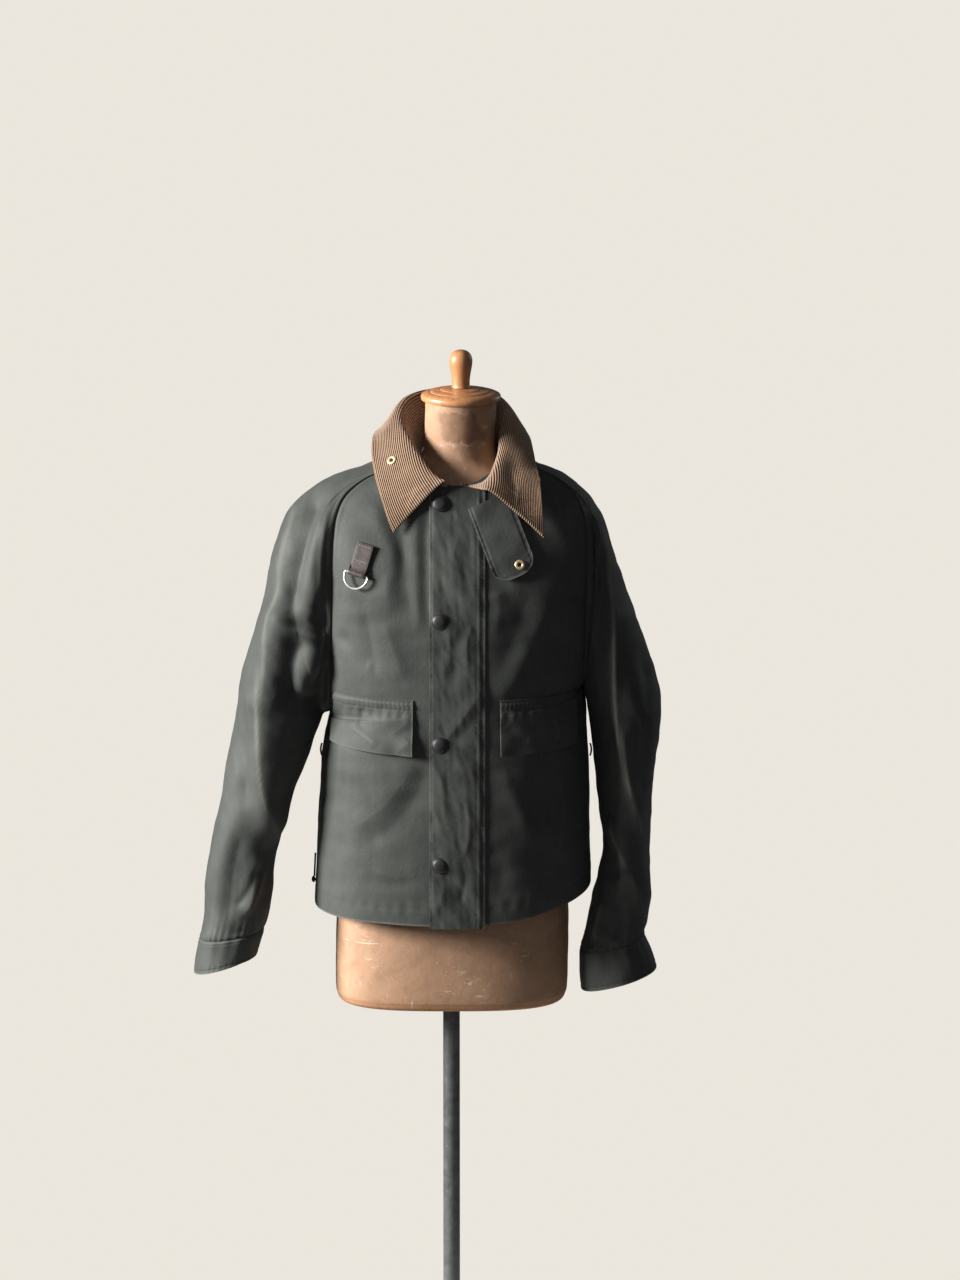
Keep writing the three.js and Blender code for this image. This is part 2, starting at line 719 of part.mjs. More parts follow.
// Pocket flaps: from near the fly to the side, the lower edge a little slanted and standing off.
const POCKET_FLAP = { innerX: 61, topZ: 1104, bottomInnerZ: 1025, bottomOuterZ: 1032 };
const POCKET_FLAP_OUTER_RIGHT = 171; // from the middle of the jacket, as innerX is
const POCKET_FLAP_OUTER_LEFT = 166;

function pocketFlap(side, outerX) {
  const { innerX, topZ, bottomInnerZ, bottomOuterZ } = POCKET_FLAP;
  const place = (u, v) => {
    const x = middleX(topZ) + side * lerp(innerX, outerX, across(u, 1));
    return [x, lerp(lerp(bottomInnerZ, bottomOuterZ, u), topZ, v)];
  };
  const STAND_OFF = 4; // at the lower edge
  const SIDE_LIFT = 1.2; // where the side turns away
  const lift = (u, v) => LAID_GAP + CLOTH + STAND_OFF * (1 - v) + SIDE_LIFT * u;
  return laidPiece(place, lift, 12, 5);
}

// Turns a piece made along +Z so that it stands on the front at a place.
function standOnFront(piece, x, z, lift) {
  const normal = frontNormal(x, z);
  piece.quaternion.setFromUnitVectors(new THREE.Vector3(0, 0, 1), normal);
  piece.position.copy(overFront(x, z, lift));
  return piece;
}

function standOnLeaf(piece, place, s) {
  const normal = collarNormal(place, s);
  if (normal.y > 0) normal.negate();
  piece.quaternion.setFromUnitVectors(new THREE.Vector3(0, 0, 1), normal);
  const lift = CORDUROY / 2 + SEAM_GAP;
  piece.position.copy(collarPoint(place, s)).addScaledVector(normal, lift);
  return piece;
}

function latheAlongZ(profile, segments) {
  const geometry = new THREE.LatheGeometry(
    profile.map(([radius, height]) => new THREE.Vector2(radius, height)),
    segments,
  );
  return geometry.rotateX(Math.PI / 2);
}

function snapCap() {
  const DOME_STEPS = 4;
  const EDGE = 1.4;
  const profile = [[0, 0], [SNAP_RADIUS - 0.8, 0], [SNAP_RADIUS, 0.6]];
  for (let k = 0; k <= DOME_STEPS; k += 1) {
    const angle = (k / DOME_STEPS) * (Math.PI / 2);
    profile.push([
      k === DOME_STEPS ? 0 : SNAP_RADIUS * Math.cos(angle),
      EDGE + (SNAP_HEIGHT - EDGE) * Math.sin(angle),
    ]);
  }
  return latheAlongZ(profile, 18);
}

function eyeletRing() {
  const profile = [
    [EYELET_HOLE, 0],
    [EYELET_OUTER, 0],
    [EYELET_OUTER - 0.5, EYELET_HEIGHT * 0.7],
    [EYELET_OUTER - 2, EYELET_HEIGHT],
    [EYELET_HOLE + 0.6, EYELET_HEIGHT * 0.8],
    [EYELET_HOLE, 0],
  ];
  return latheAlongZ(profile, 16);
}

// ---------------------------------------------------------------- leather tab and ring
const TAB_PLACE = { x: -124, z: 1300, slant: 0.25 }; // its middle, and its slope to the side
const TAB_GAP = 0.4;
const TAB_THICKNESS = 2 * TAB_LEATHER;
const LOOP_BORE = RING_WIRE / 2 + RING_BORE_CLEARANCE;
const LOOP_OUTER = LOOP_BORE + TAB_LEATHER;

// The tab's own axes: across its width, up its length and off the chest.
function tabFrame() {
  const normal = frontNormal(TAB_PLACE.x, TAB_PLACE.z);
  const up = new THREE.Vector3(TAB_PLACE.slant, 0, 1);
  up.addScaledVector(normal, -up.dot(normal)).normalize();
  const width = new THREE.Vector3().crossVectors(up, normal);
  const matrix = new THREE.Matrix4().makeBasis(width, up, normal);
  const foot = overFront(TAB_PLACE.x, TAB_PLACE.z, TAB_GAP);
  foot.addScaledVector(up, -TAB_LENGTH / 2);
  return matrix.setPosition(foot);
}

// One strap folded round the ring's straight bar: flat above, a round loop below.
function leatherTab() {
  const outline = new THREE.Shape();
  outline.moveTo(TAB_LENGTH, 0);
  outline.lineTo(TAB_LENGTH, TAB_THICKNESS);
  outline.lineTo(LOOP_OUTER * 1.6, TAB_THICKNESS);
  outline.absarc(0, LOOP_OUTER, LOOP_OUTER, Math.PI * 0.28, Math.PI * 1.5, false);
  outline.lineTo(TAB_LENGTH, 0);
  const bore = new THREE.Path();
  bore.absarc(0, LOOP_OUTER, LOOP_BORE, 0, 2 * Math.PI, true);
  outline.holes.push(bore);
  const geometry = new THREE.ExtrudeGeometry(outline, {
    depth: TAB_WIDTH,
    bevelEnabled: false,
    curveSegments: 12,
  });
  geometry.translate(0, 0, -TAB_WIDTH / 2);
  // shape x runs up the tab, shape y off the chest and the depth across the width
  const turn = new THREE.Matrix4().makeBasis(
    new THREE.Vector3(0, 1, 0),
    new THREE.Vector3(0, 0, 1),
    new THREE.Vector3(1, 0, 0),
  );
  geometry.applyMatrix4(turn);
  return geometry.applyMatrix4(tabFrame());
}

// The ring's middle line: a straight bar, small corners and a half round below.
function ringLine() {
  const half = (RING_WIDTH - RING_WIRE) / 2;
  const drop = RING_DROP - RING_WIRE;
  const CORNER_STEPS = 3;
  const CORNER = 3;
  const ARC_STEPS = 16;
  const line = [];
  for (let k = 0; k <= ARC_STEPS; k += 1) {
    const angle = Math.PI * (k / ARC_STEPS);
    line.push([half * Math.cos(angle), -CORNER - (drop - CORNER) * Math.sin(angle)]);
  }
  for (const side of [-1, 1]) {
    for (let k = 1; k <= CORNER_STEPS; k += 1) {
      const part = side < 0 ? k / CORNER_STEPS : 1 - (k - 1) / CORNER_STEPS;
      const angle = part * (Math.PI / 2);
      const x = half - CORNER + CORNER * Math.cos(angle);
      line.push([side * x, -CORNER + CORNER * Math.sin(angle)]);
    }
  }
  return line.map(([x, y]) => new THREE.Vector3(x, y, 0));
}

// A round wire along a closed flat line in the XY plane.
function closedWire(line, radius, sides) {
  const points = [];
  const count = line.length;
  line.forEach((point, j) => {
    const ahead = line[(j + 1) % count];
    const behind = line[(j + count - 1) % count];
    const tangent = ahead.clone().sub(behind).normalize();
    const sideways = new THREE.Vector3(-tangent.y, tangent.x, 0);
    for (let i = 0; i < sides; i += 1) {
      const angle = (i / sides) * 2 * Math.PI;
      const spot = point.clone().addScaledVector(sideways, radius * Math.cos(angle));
      points.push(spot.setZ(radius * Math.sin(angle)));
    }
  });
  const triangles = [];
  for (let j = 0; j < count; j += 1) {
    for (let i = 0; i < sides; i += 1) {
      const [a, b] = [j * sides + i, j * sides + ((i + 1) % sides)];
      const next = ((j + 1) % count) * sides;
      const [c, d] = [next + ((i + 1) % sides), next + i];
      triangles.push([a, b, c], [a, c, d]);
    }
  }
  return closedGeometry(points, triangles);
}

function dRing() {
  const geometry = closedWire(ringLine(), RING_WIRE / 2, 8);
  geometry.translate(0, 0, LOOP_OUTER);
  return geometry.applyMatrix4(tabFrame());
}

// ---------------------------------------------------------------- side loops and hem cord
// The side seam at a height.
function sideSeam(side, z) {
  let low = 0;
  let high = UNDERARM_ROW;
  let point;
  for (let k = 0; k < HALVINGS; k += 1) {
    const place = (low + high) / 2;
    point = frontPoint(side, place, 1);
    if (point.z < z) low = place;
    else high = place;
  }
  return point;
}

const CORD_RADIUS = 1.3;
const CORD_STAND_OFF = 0.9;

// A short cord loop sewn into the side seam at the waist.
function sideLoop(side, z) {
  const REACH = 3.4;
  const HALF_HEIGHT = 9;
  const seat = sideSeam(side, z).x + side * CORD_STAND_OFF;
  const path = new THREE.CatmullRomCurve3(
    [
      [CORD_RADIUS, HALF_HEIGHT],
      [REACH * 0.7, HALF_HEIGHT * 0.75],
      [REACH, 0],
      [REACH * 0.7, -HALF_HEIGHT * 0.75],
      [CORD_RADIUS, -HALF_HEIGHT],
    ].map(([out, up]) => new THREE.Vector3(seat + side * out, 0, z + up)),
  );
  return tubeAlong(path, CORD_RADIUS, 8, 12);
}

// The end of the hem's draw cord, which hangs down the right side seam to a knot.
const HEM_CORD_TOP_Z = 848;
const HEM_CORD_LENGTH = 34;

function hemCordPoint(down) {
  const z = HEM_CORD_TOP_Z - down;
  const stand = CORD_RADIUS + CORD_STAND_OFF;
  return new THREE.Vector3(sideSeam(-1, z).x - stand, 0, z);
}

function hemCord() {
  const STEPS = 6;
  const points = [];
  for (let k = 0; k <= STEPS; k += 1) points.push(hemCordPoint((HEM_CORD_LENGTH * k) / STEPS));
  return tubeAlong(new THREE.CatmullRomCurve3(points), CORD_RADIUS, 8, STEPS);
}

function hemCordKnot() {
  const LENGTH = 9;
  const STAND_OFF = 0.9; // a knot is thicker than its cord, so it stands further off the seam
  const profile = [[0, 0], [1.6, 1], [2.8, 4], [2.8, 6], [1.4, 8.5], [0, LENGTH]];
  const foot = hemCordPoint(HEM_CORD_LENGTH + LENGTH + SEAM_GAP);
  return latheAlongZ(profile, 12).translate(foot.x - STAND_OFF, foot.y, foot.z);
}

function tubeAlong(path, radius, sides, steps) {
  const section = new THREE.Shape();
  for (let i = 0; i < sides; i += 1) {
    const angle = (i / sides) * 2 * Math.PI;
    const point = [radius * Math.cos(angle), radius * Math.sin(angle)];
    if (i === 0) section.moveTo(...point);
    else section.lineTo(...point);
  }
  section.closePath();
  return new THREE.ExtrudeGeometry(section, { steps, extrudePath: path, bevelEnabled: false });
}

// ---------------------------------------------------------------- form and stand
function formRing(row, points) {
  const ring = [];
  for (let i = 0; i < points; i += 1) {
    const angle = (i / points) * 2 * Math.PI;
    const wide = signedPower(Math.cos(angle), 2 / row.power);
    const deep = signedPower(Math.sin(angle), 2 / row.power);
    const depth = deep < 0 ? row.front : row.back;
    const lean = lerp(0, NECK_LEAN_X, (row.z - FORM_FOOT_Z) / (NECK_TOP_Z - FORM_FOOT_Z));
    ring.push(new THREE.Vector3(lean + row.halfWidth * wide, depth * deep, row.z));
  }
  return ring;
}

function roundRing(radius, z, points) {
  const ring = [];
  for (let i = 0; i < points; i += 1) {
    const angle = (i / points) * 2 * Math.PI;
    ring.push(new THREE.Vector3(radius * Math.cos(angle), radius * Math.sin(angle), z));
  }
  return ring;
}

// The torso and neck, with a blind socket for the pole in its foot.
function dressForm() {
  const POINTS = 30;
  const STEPS = 18;
  const socket = POLE_RADIUS + SEAM_GAP;
  const rings = [
    roundRing(socket, FORM_FOOT_Z + POLE_SOCKET_DEPTH, POINTS),
    roundRing(socket, FORM_FOOT_Z, POINTS),
  ];
  for (const row of FORM_ROWS.slice(0, 3)) rings.push(formRing(row, POINTS));
  for (let j = 1; j <= STEPS; j += 1) {
    rings.push(formRing(sample(FORM_ROWS, 2 + ((FORM_ROWS.length - 3) * j) / STEPS), POINTS));
  }
  const points = rings.flat();
  const bottom = points.push(new THREE.Vector3(0, 0, FORM_FOOT_Z + POLE_SOCKET_DEPTH)) - 1;
  const top = points.push(new THREE.Vector3(NECK_LEAN_X, 0, NECK_TOP_Z)) - 1;
  const triangles = [];
  for (let j = 0; j < rings.length - 1; j += 1) {
    for (let i = 0; i < POINTS; i += 1) {
      const [a, b] = [j * POINTS + i, j * POINTS + ((i + 1) % POINTS)];
      triangles.push([a, b, b + POINTS], [a, b + POINTS, a + POINTS]);
    }
  }
  const crown = (rings.length - 1) * POINTS;
  for (let i = 0; i < POINTS; i += 1) {
    const next = (i + 1) % POINTS;
    triangles.push([bottom, next, i], [top, crown + i, crown + next]);
  }
  return closedGeometry(points, triangles);
}

// Turned neck cap: a lip, a flat cove and two raised steps.
const CAP_BOTTOM_Z = NECK_TOP_Z + SEAM_GAP;
const CAP_HEIGHT = 17.6;

function neckCap() {
  const profile = [
    [0, 0], [54, 0], [56.5, 3], [56, 8], [50, 11.5], [45, 12.5], [44.4, 11.8],
    [43.6, 13.4], [31, 15.4], [30.4, 14.8], [29.6, 16.2], [14, CAP_HEIGHT], [0, CAP_HEIGHT],
  ];
  return latheAlongZ(profile, 30).translate(NECK_LEAN_X, 0, CAP_BOTTOM_Z);
}

function finial() {
  const profile = [
    [0, 0], [13, 0], [12.6, 3], [12.8, 12], [14.2, 22], [16, 32], [16.4, 39],
    [15, 45], [11.5, 50], [6, 53], [0, 54],
  ];
  const foot = CAP_BOTTOM_Z + CAP_HEIGHT + SEAM_GAP;
  return latheAlongZ(profile, 22).translate(NECK_LEAN_X, 0, foot);
}

function basePlate() {
  const profile = [
    [0, 0], [BASE_RADIUS - 2, 0], [BASE_RADIUS, 2], [BASE_RADIUS, 9],
    [BASE_RADIUS - 8, BASE_THICKNESS], [BASE_BOSS_RADIUS + 10, BASE_THICKNESS + 3],
    [BASE_BOSS_RADIUS, BASE_THICKNESS + 12], [BASE_BOSS_RADIUS - 3, BASE_BOSS_HEIGHT],
    [POLE_RADIUS + SEAM_GAP, BASE_BOSS_HEIGHT], [POLE_RADIUS + SEAM_GAP, BASE_THICKNESS],
    [0, BASE_THICKNESS],
  ];
  return latheAlongZ(profile, 40);
}

function pole() {
  const bottom = BASE_THICKNESS + SEAM_GAP;
  const top = FORM_FOOT_Z + POLE_SOCKET_DEPTH - SEAM_GAP;
  const length = top - bottom;
  const geometry = new THREE.CylinderGeometry(POLE_RADIUS, POLE_RADIUS, length, 28);
  return geometry.rotateX(Math.PI / 2).translate(0, 0, bottom + length / 2);
}

// ---------------------------------------------------------------- the whole object
const jacket = new THREE.Group();
jacket.add(mesh("front_right", frontPanel(-1), COLOURS.wax, 0.6));
jacket.add(mesh("front_left", frontPanel(1), COLOURS.wax, 0.6));
jacket.add(mesh("back", backPanel(), COLOURS.wax, 0.6));
jacket.add(mesh("sleeve_right", sleeve(SLEEVE_RIGHT_ROWS, -1), COLOURS.wax, 0.6));
jacket.add(mesh("sleeve_left", sleeve(SLEEVE_LEFT_ROWS, 1), COLOURS.wax, 0.6));
jacket.add(mesh("cuff_right", cuff(CUFF_RIGHT_ROWS, -1), COLOURS.wax, 0.6));
jacket.add(mesh("cuff_left", cuff(CUFF_LEFT_ROWS, 1), COLOURS.wax, 0.6));
jacket.add(mesh("collar", collar(), COLOURS.corduroy, 0.9));
jacket.add(mesh("storm_fly", stormFly(), COLOURS.wax, 0.6));
jacket.add(mesh("throat_flap", throatFlap(), COLOURS.wax, 0.6));
jacket.add(mesh("pocket_flap_right", pocketFlap(-1, POCKET_FLAP_OUTER_RIGHT), COLOURS.wax, 0.6));
jacket.add(mesh("pocket_flap_left", pocketFlap(1, POCKET_FLAP_OUTER_LEFT), COLOURS.wax, 0.6));
jacket.add(mesh("ring_tab", leatherTab(), COLOURS.leather, 0.6));
jacket.add(mesh("d_ring", dRing(), COLOURS.nickel, 0.25, 1));
jacket.add(mesh("side_loop_right", sideLoop(-1, SIDE_LOOP_Z), COLOURS.cord, 0.7));
jacket.add(mesh("side_loop_left", sideLoop(1, SIDE_LOOP_Z), COLOURS.cord, 0.7));
jacket.add(mesh("hem_cord", hemCord(), COLOURS.cord, 0.7));
jacket.add(mesh("hem_cord_knot", hemCordKnot(), COLOURS.cord, 0.7));
SNAP_HEIGHTS.forEach((z, i) => {
  const cap = mesh(`snap_cap_${i + 1}`, snapCap(), COLOURS.snap, 0.35);
  jacket.add(standOnFront(cap, SNAP_X, z, FLY_LIFT + SEAM_GAP));
});
const throatEyelet = mesh("eyelet_throat", eyeletRing(), COLOURS.brass, 0.3, 1);
jacket.add(standOnFront(throatEyelet, THROAT_EYELET.x, THROAT_EYELET.z, FLAP_LIFT + SEAM_GAP));
const collarEyelet = mesh("eyelet_collar", eyeletRing(), COLOURS.brass, 0.3, 1);
jacket.add(standOnLeaf(collarEyelet, COLLAR_EYELET.place, COLLAR_EYELET.across));

const stand = new THREE.Group();
stand.add(mesh("dress_form", dressForm(), COLOURS.form, 0.6));
stand.add(mesh("neck_cap", neckCap(), COLOURS.varnish, 0.3));
stand.add(mesh("finial", finial(), COLOURS.varnish, 0.3));
stand.add(mesh("pole", pole(), COLOURS.steel, 0.4, 0.8));
stand.add(mesh("base_plate", basePlate(), COLOURS.steel, 0.5, 0.6));

const part = new THREE.Group();
part.add(jacket, stand);
export default part;
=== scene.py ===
"""Looks of a waxed cotton jacket on a dress form, as an add-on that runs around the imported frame."""

import math

import bpy
import numpy as np
from bpy.props import FloatProperty, FloatVectorProperty, PointerProperty
from bpy.types import Operator, Panel, PropertyGroup
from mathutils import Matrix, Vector


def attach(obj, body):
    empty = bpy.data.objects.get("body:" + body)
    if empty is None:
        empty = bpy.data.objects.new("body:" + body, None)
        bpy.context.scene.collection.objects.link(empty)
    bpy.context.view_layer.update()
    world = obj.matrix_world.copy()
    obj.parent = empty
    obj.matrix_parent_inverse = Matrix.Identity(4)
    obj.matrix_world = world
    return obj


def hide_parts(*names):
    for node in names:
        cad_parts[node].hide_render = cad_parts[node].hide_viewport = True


bl_info = {
    "name": "Waxed Jacket",
    "version": (1, 0, 0),
    "blender": (4, 5, 0),
    "location": "3D View > Sidebar > Jacket",
    "description": "Makes the cloth, trims, form and stage of a waxed cotton jacket",
    "category": "Add Mesh",
}

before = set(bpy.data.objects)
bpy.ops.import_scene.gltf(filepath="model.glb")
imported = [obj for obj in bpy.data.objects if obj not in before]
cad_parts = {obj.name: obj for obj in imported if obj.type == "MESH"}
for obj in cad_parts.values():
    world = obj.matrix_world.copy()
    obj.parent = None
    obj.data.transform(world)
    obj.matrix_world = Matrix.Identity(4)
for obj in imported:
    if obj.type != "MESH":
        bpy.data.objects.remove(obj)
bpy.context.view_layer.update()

# Lengths are in millimetres until a mesh is made. The jacket faces -Y, and +X is the wearer's left.
MM = 0.001

# ---------------------------------------------------------------- the cut, as the frame has it
SHELL = 1.6  # the visible cloth, a little thinner than the frame's walls
LEAN_FOOT_X = -2
LEAN_RATE = 0.0215
FORM_FOOT_Z = 640
CENTRE_FRONT_X = 9
NECK_TOP_Z = 1506
NECK_LEAN_X = 14
LAID_GAP = 0.9
CLOTH = 2
FLY_LIFT = LAID_GAP + CLOTH
FLAP_LIFT = FLY_LIFT + LAID_GAP + CLOTH
FLY_LEFT_X = -30
FLY_RIGHT_X = 48
FLY_TOP_Z = 1397
FLY_BOTTOM_Z = 776
SNAP_X = -15
SNAP_HEIGHTS = [1376, 1217, 1041, 868]
UNDERARM_ROW = 7

# centre z, centre y, edge x, edge y, edge z, span, power, tilt
FRONT_ROWS = np.array([
    [779, 152, 196, 0, 797, 1, 2.6, 15],
    [800, 152, 196, 0, 815, 1, 2.6, 15],
    [850, 151, 195, 0, 858, 1, 2.6, 14],
    [926, 149, 193, 0, 930, 1, 2.6, 14],
    [999, 148, 189, 0, 1000, 1, 2.6, 15],
    [1043, 147, 185, 0, 1043, 1, 2.6, 16],
    [1062, 147, 182, 0, 1060, 1, 2.5, 17],
    [1080, 147, 179, 0, 1076, 1, 2.5, 18],
    [1110, 146, 178, 43, 1092, 0.985, 2.4, 17],
    [1140, 145, 178, 66, 1120, 0.965, 2.4, 13],
    [1190, 143, 178, 78, 1175, 0.94, 2.4, 6],
    [1237, 139, 178, 84, 1237, 0.93, 2.4, 0],
    [1280, 130, 179, 84, 1295, 0.93, 2.4, 0],
    [1318, 118, 177, 79, 1335, 0.92, 2.4, 0],
    [1345, 108, 172, 71, 1361, 0.91, 2.4, 0],
    [1366, 100, 161, 62, 1382, 0.88, 2.4, 0],
    [1382, 94, 140, 54, 1400, 0.85, 2.4, 0],
    [1392, 90, 113, 47, 1413, 0.8, 2.4, 0],
    [1397, 88, 84, 42, 1421, 0.75, 2.4, 0],
    [1400, 87, 56, 36, 1425, 0.7, 2.4, 0],
], float)
BACK_ROWS = np.array([
    [795, 132, 196, 0, 797, 1, 2.6, 15],
    [815, 131, 196, 0, 815, 1, 2.6, 15],
    [858, 129, 195, 0, 858, 1, 2.6, 14],
    [930, 127, 193, 0, 930, 1, 2.6, 14],
    [1000, 128, 189, 0, 1000, 1, 2.6, 15],
    [1043, 130, 185, 0, 1043, 1, 2.6, 16],
    [1062, 131, 182, 0, 1060, 1, 2.5, 17],
    [1080, 132, 179, 0, 1076, 1, 2.5, 18],
    [1108, 134, 178, 40, 1092, 0.985, 2.4, 17],
    [1140, 136, 178, 62, 1120, 0.965, 2.4, 13],
    [1190, 138, 178, 76, 1175, 0.94, 2.4, 6],
    [1245, 138, 178, 84, 1237, 0.93, 2.4, 0],
    [1300, 134, 177, 86, 1295, 0.93, 2.4, 0],
    [1345, 125, 168, 82, 1335, 0.92, 2.4, 0],
    [1380, 112, 150, 73, 1365, 0.9, 2.4, 0],
    [1405, 101, 128, 64, 1388, 0.88, 2.4, 0],
    [1422, 92, 104, 55, 1407, 0.84, 2.4, 0],
    [1434, 84, 80, 45, 1420, 0.8, 2.4, 0],
    [1440, 76, 56, 33, 1427, 0.7, 2.4, 0],
], float)

# outer x, outer z, inner x, inner z, middle y, half depth, power
SLEEVE_ROWS = {
    -1: np.array([
        [244, 1317, 184, 1052, 0, 90, 2.3],
        [257, 1270, 186, 1046, -2, 89, 2.3],
        [270, 1207, 189, 1038, -4, 87, 2.3],
        [285, 1157, 193, 1027, -6, 84, 2.3],
        [298, 1106, 198, 1012, -9, 80, 2.3],
        [312, 1030, 208, 984, -13, 74, 2.2],
        [321, 979, 221, 950, -17, 68, 2.2],
        [333, 916, 239, 900, -22, 60, 2.2],
        [344, 860, 251, 852, -27, 54, 2.2],
        [350, 800, 255, 800, -32, 50, 2.2],
        [354, 762, 261, 770, -36, 48, 2.3],
        [359, 733, 268, 749, -38, 47, 2.3],
    ], float),
    1: np.array([
        [218, 1330, 190, 1086, 0, 88, 2.3],
        [232, 1283, 193, 1078, -2, 88, 2.3],
        [247, 1238, 195, 1068, -4, 86, 2.3],
        [262, 1197, 197, 1056, -6, 84, 2.3],
        [280, 1146, 199, 1040, -9, 81, 2.3],
        [297, 1088, 201, 1018, -13, 77, 2.3],
        [297, 1045, 203, 996, -16, 73, 2.2],
        [291, 990, 206, 960, -19, 68, 2.2],
        [285, 930, 211, 915, -23, 62, 2.2],
        [282, 875, 215, 872, -27, 58, 2.2],
        [285, 830, 208, 828, -30, 56, 2.2],
        [287, 794, 198, 785, -33, 54, 2.2],
        [279, 757, 191, 748, -35, 52, 2.3],
        [275, 737, 185, 719, -37, 51, 2.3],
    ], float),
}
CUFF_ROWS = {
    -1: np.array([
        [359, 733, 268, 749, -38, 47, 2.3],
        [363, 709, 272, 732, -39, 47, 2.3],
        [367, 684, 277, 713, -40, 47, 2.3],
    ], float),
    1: np.array([
        [275, 737, 185, 719, -37, 51, 2.3],
        [284, 715, 184, 692, -38, 53, 2.3],
        [292, 690, 185, 660, -39, 53, 2.3],
    ], float),
}

# neckline x y z, roll x y z, free edge x y z, from the right leaf round the neck to the left leaf
COLLAR_ROWS = np.array([
    [-6, -92, 1402, -9, -98, 1408, -80, -112, 1338],
    [-22, -84, 1408, -30, -84, 1428, -88, -108, 1356],
    [-34, -68, 1416, -46, -62, 1447, -97, -92, 1382],
    [-42, -42, 1426, -60, -36, 1464, -107, -62, 1412],
    [-46, -8, 1433, -73, 0, 1484, -112, -24, 1444],
    [-42, 30, 1437, -68, 40, 1501, -104, 26, 1458],
    [-22, 58, 1441, -42, 72, 1511, -70, 74, 1462],
    [13, 70, 1444, 10, 88, 1514, 12, 104, 1460],
    [48, 58, 1441, 56, 66, 1509, 84, 76, 1458],
    [68, 30, 1437, 72, 32, 1502, 108, 30, 1452],
    [73, -6, 1433, 71, -2, 1484, 116, -20, 1438],
    [70, -36, 1426, 67, -34, 1458, 122, -62, 1408],
    [64, -62, 1416, 62, -64, 1436, 127, -90, 1374],
    [50, -84, 1406, 58, -88, 1414, 130, -106, 1350],
    [30, -92, 1399, 50, -104, 1398, 130, -116, 1332],
], float)

# z, half width, front depth, back depth, power
FORM_ROWS = np.array([
    [640, 152, 98, 92, 3],
    [643, 160, 106, 100, 3],
    [650, 164, 110, 104, 3],
    [670, 166, 112, 106, 3],
    [780, 165, 112, 108, 2.8],
    [880, 150, 104, 104, 2.6],
    [980, 132, 98, 92, 2.5],
    [1080, 136, 104, 96, 2.4],
    [1180, 146, 118, 104, 2.4],
    [1270, 150, 116, 106, 2.4],
    [1330, 152, 98, 98, 2.4],
    [1368, 146, 84, 88, 2.3],
    [1392, 127, 72, 74, 2.2],
    [1408, 98.5, 62, 64, 2.1],
    [1420, 70, 54, 54, 2],
    [1434, 52, 50, 49, 2],
    [1460, 50, 50, 48, 2],
    [NECK_TOP_Z, 50, 50, 50, 2],
], float)

# ---------------------------------------------------------------- folds
# Each fold: height off the cloth (a trough is negative), its width on the +X side and on the -X
# side when it is drawn downwards, and the line that it follows, x and z.
FRONT_FOLDS = [
    (-4.6, 16, 20, [(-80, 1400), (-70, 1340), (-66, 1280), (-52, 1200)]),
    (2.6, 16, 22, [(-108, 1380), (-98, 1310), (-86, 1215)]),
    (-2.6, 7, 12, [(-34, 1385), (-35, 1300), (-33, 1200)]),
    (1.5, 10, 12, [(-50, 1370), (-49, 1290), (-46, 1190)]),
    (2.2, 12, 16, [(-96, 1215), (-80, 1170), (-68, 1128)]),
    (-2.6, 9, 14, [(-124, 1225), (-112, 1180), (-105, 1130)]),
    (-2.4, 10, 8, [(-158, 1195), (-135, 1165), (-112, 1150)]),
    (-3.4, 18, 26, [(-30, 1030), (-51, 966), (-91, 916), (-145, 880)]),
    (2.8, 22, 20, [(-50, 1018), (-95, 952), (-150, 908)]),
    (0.9, 8, 11, [(-46, 856), (-76, 850), (-112, 858)]),
    (-1.1, 10, 10, [(-50, 843), (-90, 836), (-128, 845)]),
    (-2.2, 9, 14, [(-160, 1000), (-150, 930), (-158, 860)]),
    (2.4, 14, 18, [(140, 1262), (116, 1190), (84, 1128), (62, 1106)]),
    (-2.2, 16, 16, [(112, 1262), (92, 1200), (66, 1140)]),
    (1.6, 12, 12, [(62, 1262), (66, 1232), (60, 1195)]),
    (-1.8, 14, 12, [(150, 1210), (128, 1165), (104, 1132)]),
    (1.6, 16, 16, [(70, 1010), (96, 950), (118, 880)]),
    (-1.9, 18, 14, [(104, 1000), (122, 930), (128, 850)]),
    (1.5, 12, 14, [(152, 1000), (158, 930), (150, 860)]),
    (-1.3, 12, 12, [(58, 900), (70, 860), (66, 815)]),
]
FLY_FOLDS = [
    (1.1, 6, 9, [(40, 1116), (16, 1080), (-10, 1046)]),
    (-0.9, 8, 8, [(44, 1094), (22, 1064), (0, 1040)]),
    (0.8, 8, 10, [(-2, 1204), (-4, 1170), (-14, 1130)]),
    (-0.8, 9, 9, [(8, 1200), (6, 1160), (-2, 1112)]),
    (0.8, 8, 8, [(12, 1340), (2, 1300), (6, 1262)]),
    (-0.8, 8, 8, [(26, 1330), (22, 1288), (28, 1240)]),
    (0.8, 9, 9, [(-12, 1012), (-14, 970), (-6, 930)]),
    (-0.9, 9, 9, [(-2, 1022), (-4, 980), (6, 930)]),
    (0.9, 7, 9, [(-8, 846), (-14, 820), (-24, 798)]),
    (1.2, 5, 6, [(22, 960), (26, 915), (18, 880)]),
    (-1.1, 5, 5, [(14, 880), (20, 846), (12, 810)]),
    (1.1, 5, 6, [(30, 1215), (22, 1185), (26, 1150)]),
]
